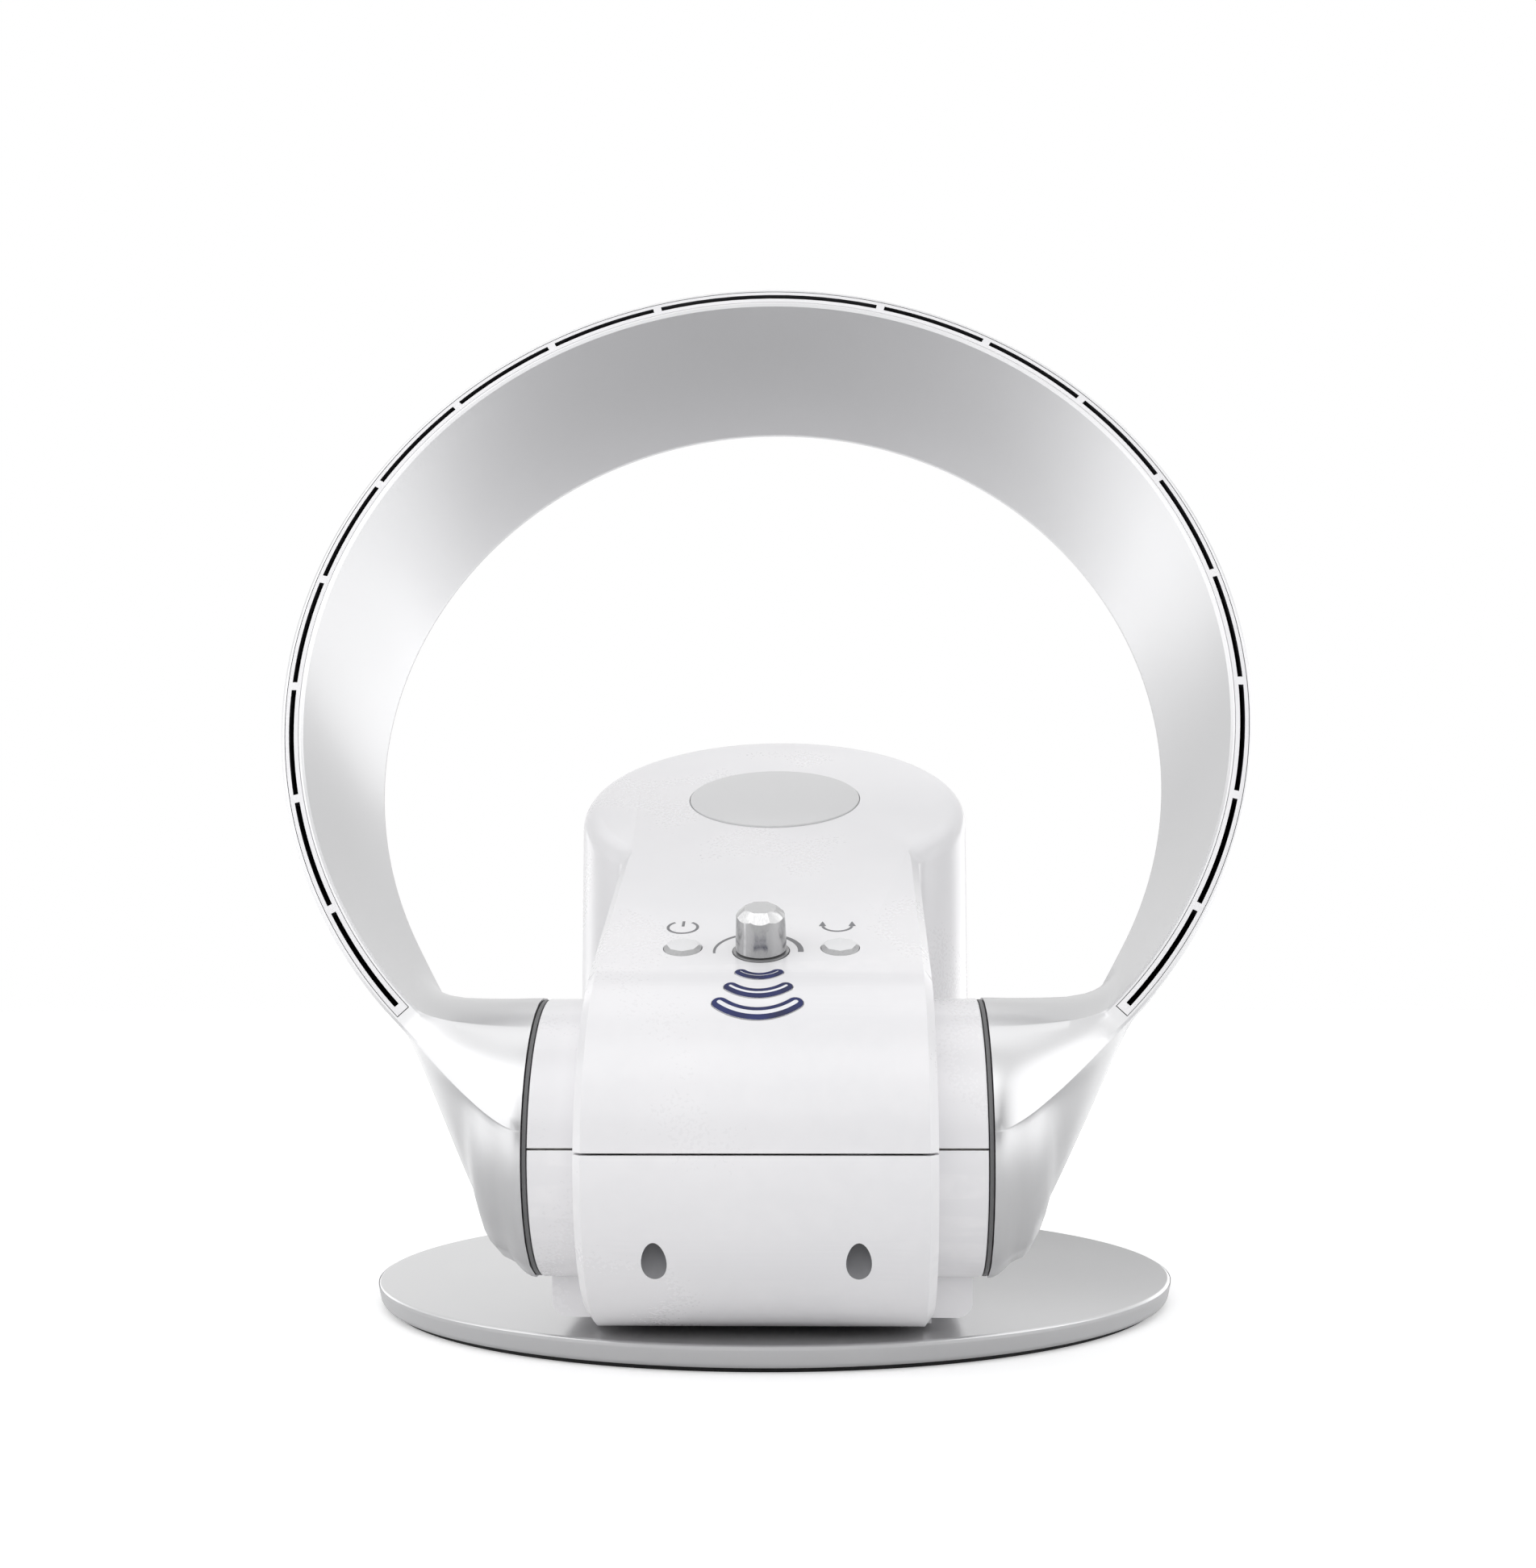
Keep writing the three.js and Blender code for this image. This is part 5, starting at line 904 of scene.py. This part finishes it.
def channel_point(wall, t, inside):
    """Radius and depth of a station, on the outer skin or (inside = 1) on the channel within."""
    share = depth_share(wall, t)
    thickness = inside * lerp(FRONT_WALL, REAR_WALL, share)
    inner = lerp(FRONT_INNER, REAR_INNER, share) + thickness
    outer = FRONT_OUTER - (FRONT_OUTER - REAR_OUTER) * share**2 - thickness
    front = RING_FRONT + inside * FRONT_WALL
    rear = RING_FRONT + RING_DEPTH - inside * REAR_WALL
    edge = RING_EDGE * (1 - inside)
    lip = (outer - inner) / 3
    y = lerp(front + edge, rear - lip, share)
    if wall == "inner":
        return inner, y
    if wall == "outer":
        return outer, y
    if wall == "lip":
        turn = math.pi * t
        return (inner + outer) / 2 - (outer - inner) / 2 * math.cos(turn), rear - lip + lip * math.sin(turn)
    return lerp(outer - edge, inner + edge, t), front


def on_ring(radius, y, angle):
    return Vector((radius * math.sin(angle), y, RING_RISE + radius * math.cos(angle)))


def leg_point(station, inside, along):
    """A station's curve from the ring down to the hub disc, right-hand side."""
    wall, t, gamma = station
    radius, y = channel_point(wall, t, inside)
    angle = lerp(LEG_START_FRONT, LEG_START_REAR, (y - RING_FRONT) / RING_DEPTH)
    start = on_ring(radius, y, angle)
    start_pull = Vector((math.cos(angle), 0, -math.sin(angle)))
    disc = SLEEVE_BORE if inside else HUB_DISC
    gamma = math.radians(gamma)
    end = Vector((HUB_FACE, -disc * math.cos(gamma), disc * math.sin(gamma)))
    top, bottom = max(0, math.sin(gamma)), max(0, -math.sin(gamma))
    chord = (end - start).length
    ring_pull = chord * (RING_PULL - RING_PULL_CHANGE * top + RING_PULL_CHANGE * bottom)
    if wall in ("outer", "front"):
        hollow = max(0, min(1, (HOLLOW_REACH - depth_share(wall, t)) / HOLLOW_REACH))
        ring_pull = lerp(ring_pull, chord * HOLLOW_PULL, hollow * hollow * (3 - 2 * hollow))
    hub_pull = chord * (HUB_PULL + HUB_PULL_TOP * top - HUB_PULL_BOTTOM * bottom)
    s, s2, s3 = along, along**2, along**3
    point = start * (2 * s3 - 3 * s2 + 1) + start_pull * (s3 - 2 * s2 + s) * ring_pull
    point += end * (3 * s2 - 2 * s3) + Vector((-1, 0, 0)) * (s3 - s2) * hub_pull
    about_hub = math.hypot(point.y, point.z)
    least = SLEEVE_BORE + (0 if inside else SLEEVE_COVER)
    closeness = max(0, min(1, (HUB_FACE + SLEEVE_REACH - point.x) / SLEEVE_EASE))
    grown = 1 + max(0, least / about_hub - 1) * closeness
    return Vector((point.x, point.y * grown, point.z * grown))


def channel_rings(inside):
    stations = channel_stations()
    leg_steps, ring_steps = 28, 168
    right_leg = []
    for k in range(leg_steps + 1):
        right_leg.append([leg_point(station, inside, k / leg_steps) for station in stations])
    left_leg = [[Vector((-p.x, p.y, p.z)) for p in ring] for ring in reversed(right_leg)]
    arch = []
    for k in range(1, ring_steps):
        share = 2 * k / ring_steps - 1
        ring = []
        for wall, t, _ in stations:
            radius, y = channel_point(wall, t, inside)
            start = lerp(LEG_START_FRONT, LEG_START_REAR, (y - RING_FRONT) / RING_DEPTH)
            ring.append(on_ring(radius, y, share * start))
        arch.append(ring)
    return left_leg + arch + right_leg


def tube(name, outer, inner, place, finishes, outer_zones):
    """Skins a tube wall between an outer and an inner stack of rings, closed at both open ends.

    Each outer face takes the finish of its zone, and the inner skin takes the last one.
    """
    count, last = len(outer[0]), len(outer) - 1
    points = [p for ring in outer + inner for p in ring]
    shift = len(outer) * count
    faces, zones = [], []
    for i in range(count):
        j = (i + 1) % count
        for k in range(last):
            a, b, c, d = k * count + i, k * count + j, (k + 1) * count + j, (k + 1) * count + i
            faces.append((a, b, c, d))
            faces.append((a + shift, d + shift, c + shift, b + shift))
            zones += [outer_zones[i], len(finishes) - 1]
        for k in (0, last):
            faces.append((k * count + i, k * count + j, shift + k * count + j, shift + k * count + i))
            zones.append(0)
    whole = made(name, points, faces, place, zones)
    for finish in finishes:
        whole.data.materials.append(finish)
    return whole


def rim_strip(middle, half_width, front, rear, half_angle, steps, turn=0.0, soft=0.0):
    """A strip that follows the ring's front face."""
    rows = []
    low, high = middle - half_width, middle + half_width
    corners = [(low, rear), (high, rear), (high, front, soft), (low, front, soft)]
    if not soft:
        corners = [corner[:2] for corner in corners]
    section = softened(corners, 3)
    for k in range(steps + 1):
        angle = turn + lerp(-half_angle, half_angle, k / steps)
        rows.append([on_ring(radius, y, angle) for radius, y in section])
    return skinned("strip", rows, RING)


def make_air_ring():
    middle = (FRONT_INNER + FRONT_OUTER) / 2
    # The inner half of the rear lip takes the darker silver, a painted shade line along the rear edge.
    outer_zones = [int(wall == "lip" and t < LIP_PAINTED_SHADE_END) for wall, t, _ in channel_stations()]
    # The channel's inner skin takes black: painted shade seen through the slots.
    finishes = (RING_SILVER, LIP_PAINTED_SHADE, BLACK_AND_PAINTED_SHADE)
    shell = tube("shell", channel_rings(0), channel_rings(1), RING, finishes, outer_zones)
    mouth_angle = RIM_HALF_ANGLE + SEAT_GAP / SLOT_CIRCLE
    seat = RING_FRONT + RIM_THICKNESS + SEAT_GAP
    mouth = rim_strip(middle, MOUTH_HALF_WIDTH, RING_FRONT - OVERRUN, seat, mouth_angle, 180)
    bores = []
    for low in (-HUB_FACE - SLEEVE_DEPTH, HUB_FACE - 1):
        bores.append(bar((0, 0), SLEEVE_BORE, low, low + SLEEVE_DEPTH + 1, RING @ ABOUT_X, MEDIUM))
    cut(shell, mouth, *bores)
    dressed(shell, "ring_and_legs", "air_ring", RING_SILVER, ["nozzle_shell"], sharp=30,
            more_finishes=finishes[1:])

    bridge = SLOT_BRIDGE / SLOT_CIRCLE
    pitch = (RIM_HALF_ANGLE - bridge / 2) / (SLOTS_PER_SIDE + 1)
    front, rear = RING_FRONT, RING_FRONT + RIM_THICKNESS
    rim = rim_strip(middle, RIM_HALF_WIDTH, front, rear, RIM_HALF_ANGLE, 180, soft=SOFT_EDGE)
    slots = []
    for k in range(-SLOTS_PER_SIDE, SLOTS_PER_SIDE + 1):
        turn = math.copysign(abs(k) + 0.5, k) * pitch if k else 0
        half_angle = (0.5 if k else 1) * pitch - bridge / 2
        slots.append(rim_strip(SLOT_CIRCLE, SLOT_WIDTH / 2, front - 1, rear + 1, half_angle, 12, turn))
    cut(rim, gathered(slots))
    dressed(rim, "slotted_rim", "air_ring", WHITE_SHELL, ["nozzle_rim"])

    # The slot walls of the white rim take black: painted shade in the narrow slots.
    def in_slot(p):
        from_middle = abs(math.hypot(p.x, p.z - RING_RISE) - SLOT_CIRCLE)
        return from_middle < SLOT_WIDTH / 2 + FACE_REACH and front + 0.05 < p.y < rear - 0.05

    shaded(rim, BLACK_AND_PAINTED_SHADE, in_slot, RING)


# ---- Controls ----
def ribbon(path, widths):
    """A thin printed line on the panel along (x, y) points, with a half width at each."""
    low, high = DRUM_RADIUS - PRINT_SINK, DRUM_RADIUS + PRINT_HEIGHT
    rows = []
    for k, (x, y) in enumerate(path):
        ahead, behind = path[min(k + 1, len(path) - 1)], path[max(k - 1, 0)]
        along = Vector((ahead[0] - behind[0], ahead[1] - behind[1])).normalized()
        across = Vector((-along.y, along.x)) * widths[k]
        left, right = Vector((x, y)) + across, Vector((x, y)) - across
        rows.append([(*left, low), (*right, low), (*right, high), (*left, high)])
    return skinned("ribbon", rows, PANEL)


def arc(middle, radius, start, end):
    steps = 40
    angles = [math.radians(lerp(start, end, k / steps)) for k in range(steps + 1)]
    return [(middle[0] + radius * math.cos(a), middle[1] + radius * math.sin(a)) for a in angles]


def printed(shapes, name):
    dressed(gathered(shapes), name, "housing", PRINT_GREY)


def make_prints():
    """Power sign, swing sign and the rising arc round the knob."""
    middle = (-BUTTON_X - 1.3, 33.6)
    ring = arc(middle, 5, 125, 415)
    stem = [(middle[0], middle[1] + 0.8), (middle[0], middle[1] + 5.2)]
    printed([ribbon(ring, [PRINT_LINE] * len(ring)), ribbon(stem, [PRINT_LINE] * 2)], "power_sign")
    middle = (BUTTON_X - 0.9, 35)
    smile = arc(middle, 5, 190, 350)
    heads = []
    for side in (-1, 1):
        tip = (middle[0] + side * 5, middle[1] + 3.2)
        heads.append(ribbon([(tip[0], tip[1] - 3.8), tip], [1.25, 0.1]))
    printed([ribbon(smile, [PRINT_LINE] * len(smile)), *heads], "swing_sign")
    scale = arc((-1.2, KNOB_Y), 14.2, 187, -3)
    widths = [lerp(0.4, 0.95, k / (len(scale) - 1)) for k in range(len(scale))]
    printed([ribbon(scale, widths)], "speed_sign")


def eight_sided(low_reach, high_reach, low, high, turn, place):
    """An eight-sided crown cutter, from the reach of its flats at the bottom to that at the top."""
    rows = []
    for reach, z in ((low_reach, low), (high_reach, high)):
        corner = reach / math.cos(math.pi / 8)
        angles = [turn + k * math.pi / 4 for k in range(8)]
        rows.append([(corner * math.cos(a), corner * math.sin(a), z) for a in angles])
    return skinned("crown", rows, place)


def eased(obj, width):
    """Takes the sharpness off a piece's edges."""
    edges = obj.modifiers.new("eased_edges", "BEVEL")
    edges.width = width * MM
    edges.segments = 3
    edges.limit_method = "ANGLE"
    edges.angle_limit = math.radians(22)


def make_controls():
    at_knob = PANEL @ Matrix.Translation((0, KNOB_Y, 0))
    top = KNOB_BOTTOM + KNOB_HEIGHT
    foot = (KNOB_RADIUS, KNOB_BOTTOM, 0.4)
    knob = turned("knob", [(0, KNOB_BOTTOM), foot, (KNOB_RADIUS - KNOB_TAPER, top), (0, top)], at_knob)
    crown_reach = KNOB_RADIUS - KNOB_BEVEL
    crown = eight_sided(crown_reach + KNOB_HEIGHT, crown_reach, top - KNOB_HEIGHT, top, math.pi / 8, at_knob)
    knob = combined(knob, [crown], "INTERSECT")
    cut(knob, bar((0, 0), KNOB_BORE, KNOB_BOTTOM - 1, KNOB_BOTTOM + KNOB_BORE_DEPTH, at_knob))
    eased(knob, 0.25)
    dressed(knob, "speed_dial", "knob", KNOB_METAL, ["speed_knob"], sharp=40)

    low, high = DRUM_RADIUS - COLLAR_FOOT, DRUM_RADIUS + COLLAR_PROUD
    collar = band(SHAFT_HOLE, COLLAR_RADIUS, low, high, (0, 0, SOFT_EDGE, 0), at_knob, MEDIUM)
    dressed(collar, "dial_collar", "housing", COLLAR_DARK, ["knob_collar"])

    for side, body, node in ((-1, "power_key", "power_button"), (1, "swing_key", "swing_button")):
        at_key = PANEL @ Matrix.Translation((side * BUTTON_X, BUTTON_Y, 0))
        top = DRUM_RADIUS + BUTTON_PROUD
        flange = DRUM_RADIUS - HOUSING_WALL - SEAT_GAP
        cap = turned("cap", [
            (0, BUTTON_STEM_END),
            (BUTTON_STEM, BUTTON_STEM_END),
            (BUTTON_STEM, flange - BUTTON_FLANGE_THICKNESS),
            (BUTTON_RADIUS + BUTTON_FLANGE_REACH, flange - BUTTON_FLANGE_THICKNESS),
            (BUTTON_RADIUS + BUTTON_FLANGE_REACH, flange),
            (BUTTON_RADIUS, flange),
            (BUTTON_RADIUS, top),
            (0, top),
        ], at_key, MEDIUM)
        low_reach = BUTTON_FLAT_REACH + BUTTON_CROWN * BUTTON_FLAT_SLOPE
        at_flat = at_key @ Matrix.Translation((0, BUTTON_FLAT_RISE, 0))
        crown = eight_sided(low_reach, BUTTON_FLAT_REACH, top - BUTTON_CROWN, top, 0, at_flat)
        cap = combined(cap, [crown], "INTERSECT")
        eased(cap, 0.12)
        dressed(cap, f"{body}_cap", body, KEY_GREY, [node])

        # Only the near, lower facets of each key's crown take the darker grey: painted shade.
        def on_shaded_slope(p, top=top):
            return p.y < 0 and top - 1.6 < p.z < top - 0.1 and math.hypot(p.x, p.y) < BUTTON_RADIUS - 0.1

        shaded(cap, KEY_PAINTED_SHADE, on_shaded_slope, at_key)

    badge_top = DRUM_RADIUS + BADGE_PROUD
    badge = turned("badge", [
        (0, badge_top - BADGE_THICKNESS),
        (BADGE_RADIUS, badge_top - BADGE_THICKNESS),
        (BADGE_RADIUS, badge_top, BADGE_EDGE),
        (0, badge_top),
    ], PANEL @ Matrix.Translation((0, BADGE_Y, 0)))
    dressed(badge, "bare_badge", "housing", BADGE_GREY, ["badge_plate"])

    for node, way, half_width, thickness, bend in WINDOWS:
        low = DRUM_RADIUS - LENS_THICKNESS + LENS_PROUD
        lens = window_body(way, half_width, thickness, bend, 0, low, DRUM_RADIUS + LENS_PROUD)
        dressed(lens, f"{node}_lens", "housing", WINDOW_CLEAR, [node])
        border = window_border(way, half_width, thickness, bend)
        dressed(border, f"{node}_border", "housing", WINDOW_NAVY)


# ---- Camera, floor and light ----
FOCAL_PIXELS = 2286.07
FRAME_WIDTH, FRAME_HEIGHT = 1904, 1944
AXIS_X, AXIS_Y = 976.17, 962.65
SENSOR = 36
EYE = Vector((24.31, -744.27, 128.91))
EYE_PITCH, EYE_YAW, EYE_ROLL = math.radians(5.72), math.radians(1.47), math.radians(-0.12)
LAMP_AIM = Vector((0, -40, 160))
LAMPS = [
    # name, place, width, height, power
    ("front_key", (-250, -1100, 900), 1900, 1100, 9.4),
    ("top_softbox", (0, 220, 1300), 2000, 1200, 6.6),
    ("left_softbox", (-1200, -350, 600), 1500, 1100, 5.4),
    ("right_softbox", (1200, -350, 600), 1500, 1100, 7),
    ("left_back_strip", (-900, 950, 150), 350, 700, 0.9),
    ("right_back_strip", (760, 1050, 150), 620, 700, 1.7),
]


def make_camera():
    """The photograph's own point of view."""
    eye = bpy.data.cameras.new("photo_view")
    eye.sensor_width = SENSOR
    eye.lens = FOCAL_PIXELS / FRAME_HEIGHT * SENSOR
    eye.shift_x = (FRAME_WIDTH / 2 - AXIS_X) / FRAME_HEIGHT
    eye.shift_y = (AXIS_Y - FRAME_HEIGHT / 2) / FRAME_HEIGHT
    turn = Matrix.Rotation(EYE_YAW, 4, "Z") @ Matrix.Rotation(math.pi / 2 + EYE_PITCH, 4, "X")
    camera = bpy.data.objects.new("photo_view", eye)
    camera.matrix_world = Matrix.Translation(EYE * MM) @ turn @ Matrix.Rotation(EYE_ROLL, 4, "Z")
    bpy.context.collection.objects.link(camera)
    bpy.context.scene.camera = camera


def looks(nodes):
    """1 for what the camera looks at, and 1 for what metal and glass show; 0 for the light on the object."""
    path = nodes.add("ShaderNodeLightPath").outputs
    mirrored = nodes.math("MAXIMUM", path["Is Glossy Ray"], path["Is Transmission Ray"])
    return path["Is Camera Ray"], mirrored


def make_floor():
    """A wide pale floor that keeps the object's shadow and turns plain white away from it; behind the object
    it glows for metal only, a painted reflection that lightens the ring's top.
    """
    floor = slab("studio_floor", 4000, -20, 0)
    material, nodes, shader = started("studio_floor")
    height, drift = grained(nodes, 300.0, 3.0)
    colour = nodes.mixed(drift, (0.88, 0.88, 0.88, 1), (0.9, 0.9, 0.9, 1))
    given_to(nodes, shader, Base_Color=colour, Roughness=0.9, Specular_IOR_Level=0.1)
    place = nodes.place()
    away = nodes.add("ShaderNodeVectorMath", {0: place}, operation="LENGTH").outputs["Value"]
    behind = nodes.add("ShaderNodeSeparateXYZ", {0: place}).outputs["Y"]
    seen, mirrored = looks(nodes)
    seen_glow = nodes.ranged(away, 0.2, 0.7, 0.32, 1.0)
    far_glow = nodes.ranged(away, 0.3, 0.75)
    # Metal sees the floor behind the object glow, though no lamp is there: a painted reflection.
    rear_painted_reflection = nodes.ranged(behind, 0.1, 0.21, 0.0, 0.62)
    mirrored_backdrop_and_painted_reflection = nodes.math("MAXIMUM", far_glow, rear_painted_reflection)
    mirrored_share = nodes.math("MULTIPLY", mirrored, mirrored_backdrop_and_painted_reflection)
    glow = nodes.math("ADD", nodes.math("MULTIPLY", seen, seen_glow), mirrored_share)
    given_to(nodes, shader, Emission_Color=(1, 1, 1, 1), Emission_Strength=glow)
    floor.data.materials.append(material)


def make_wall(name, corners, thickness, grey):
    """A plain wall or card that only bright metal and gloss show."""
    wall = skinned(name, [corners, [tuple(a + b for a, b in zip(corner, thickness)) for corner in corners]])
    material, nodes, shader = started(name)
    height, drift = grained(nodes, 200.0, 2.0)
    colour = nodes.mixed(drift, (grey, grey, grey, 1), (grey * 1.2, grey * 1.2, grey * 1.2, 1))
    given_to(nodes, shader, Base_Color=colour, Roughness=0.9)
    bumped(nodes, shader, height, 0.1)
    wall.data.materials.append(material)
    wall.visible_camera = False
    wall.visible_diffuse = False
    wall.visible_shadow = False


def make_walls():
    """A dark wall behind the camera, which bright metal mirrors, and a card behind the object's right."""
    wall = [(-1200, -1700, 0), (1200, -1700, 0), (1200, -1700, 1400), (-1200, -1700, 1400)]
    make_wall("studio_wall", wall, (0, -60, 0), 0.2)
    card = [(130, 1000, 0), (400, 960, 0), (400, 960, 260), (130, 1000, 260)]
    make_wall("grey_card", card, (0, 4, 0), 0.5)


def make_world():
    """Soft even light, and plain white where the camera, metal or glass looks past the object."""
    world = bpy.data.worlds.new("studio_air")
    world.use_nodes = True
    nodes = Nodes(world.node_tree)
    nodes.tree.nodes.clear()
    light = nodes.add("ShaderNodeBackground", {"Color": (0.97, 0.98, 1.0, 1), "Strength": 0.24})
    white = nodes.add("ShaderNodeBackground", {"Color": (1, 1, 1, 1), "Strength": 1.0})
    looked_at = nodes.math("MAXIMUM", *looks(nodes))
    chosen = nodes.add("ShaderNodeMixShader", {0: looked_at, 1: light.outputs[0], 2: white.outputs[0]})
    leave = nodes.add("ShaderNodeOutputWorld", {"Surface": chosen.outputs[0]})
    leave.is_active_output = True
    bpy.context.scene.world = world


def make_lamps():
    """Wide lamps round the object, which metal mirrors and the camera doesn't see."""
    for name, at, width, height, power in LAMPS:
        lamp = bpy.data.lights.new(name, "AREA")
        lamp.shape = "RECTANGLE"
        lamp.size, lamp.size_y = width * MM, height * MM
        lamp.energy = power
        obj = bpy.data.objects.new(name, lamp)
        towards = (LAMP_AIM - Vector(at)).to_track_quat("-Z", "Y")
        obj.matrix_world = Matrix.Translation(Vector(at) * MM) @ towards.to_matrix().to_4x4()
        obj.visible_camera = False
        bpy.context.collection.objects.link(obj)


finish_frame_nodes()
make_camera()
make_upper_housing()
make_lower_housing()
make_rear_grille()
make_seals()
make_base()
make_air_ring()
make_controls()
make_prints()
make_floor()
make_walls()
make_world()
make_lamps()
bpy.context.scene.view_settings.view_transform = "Standard"
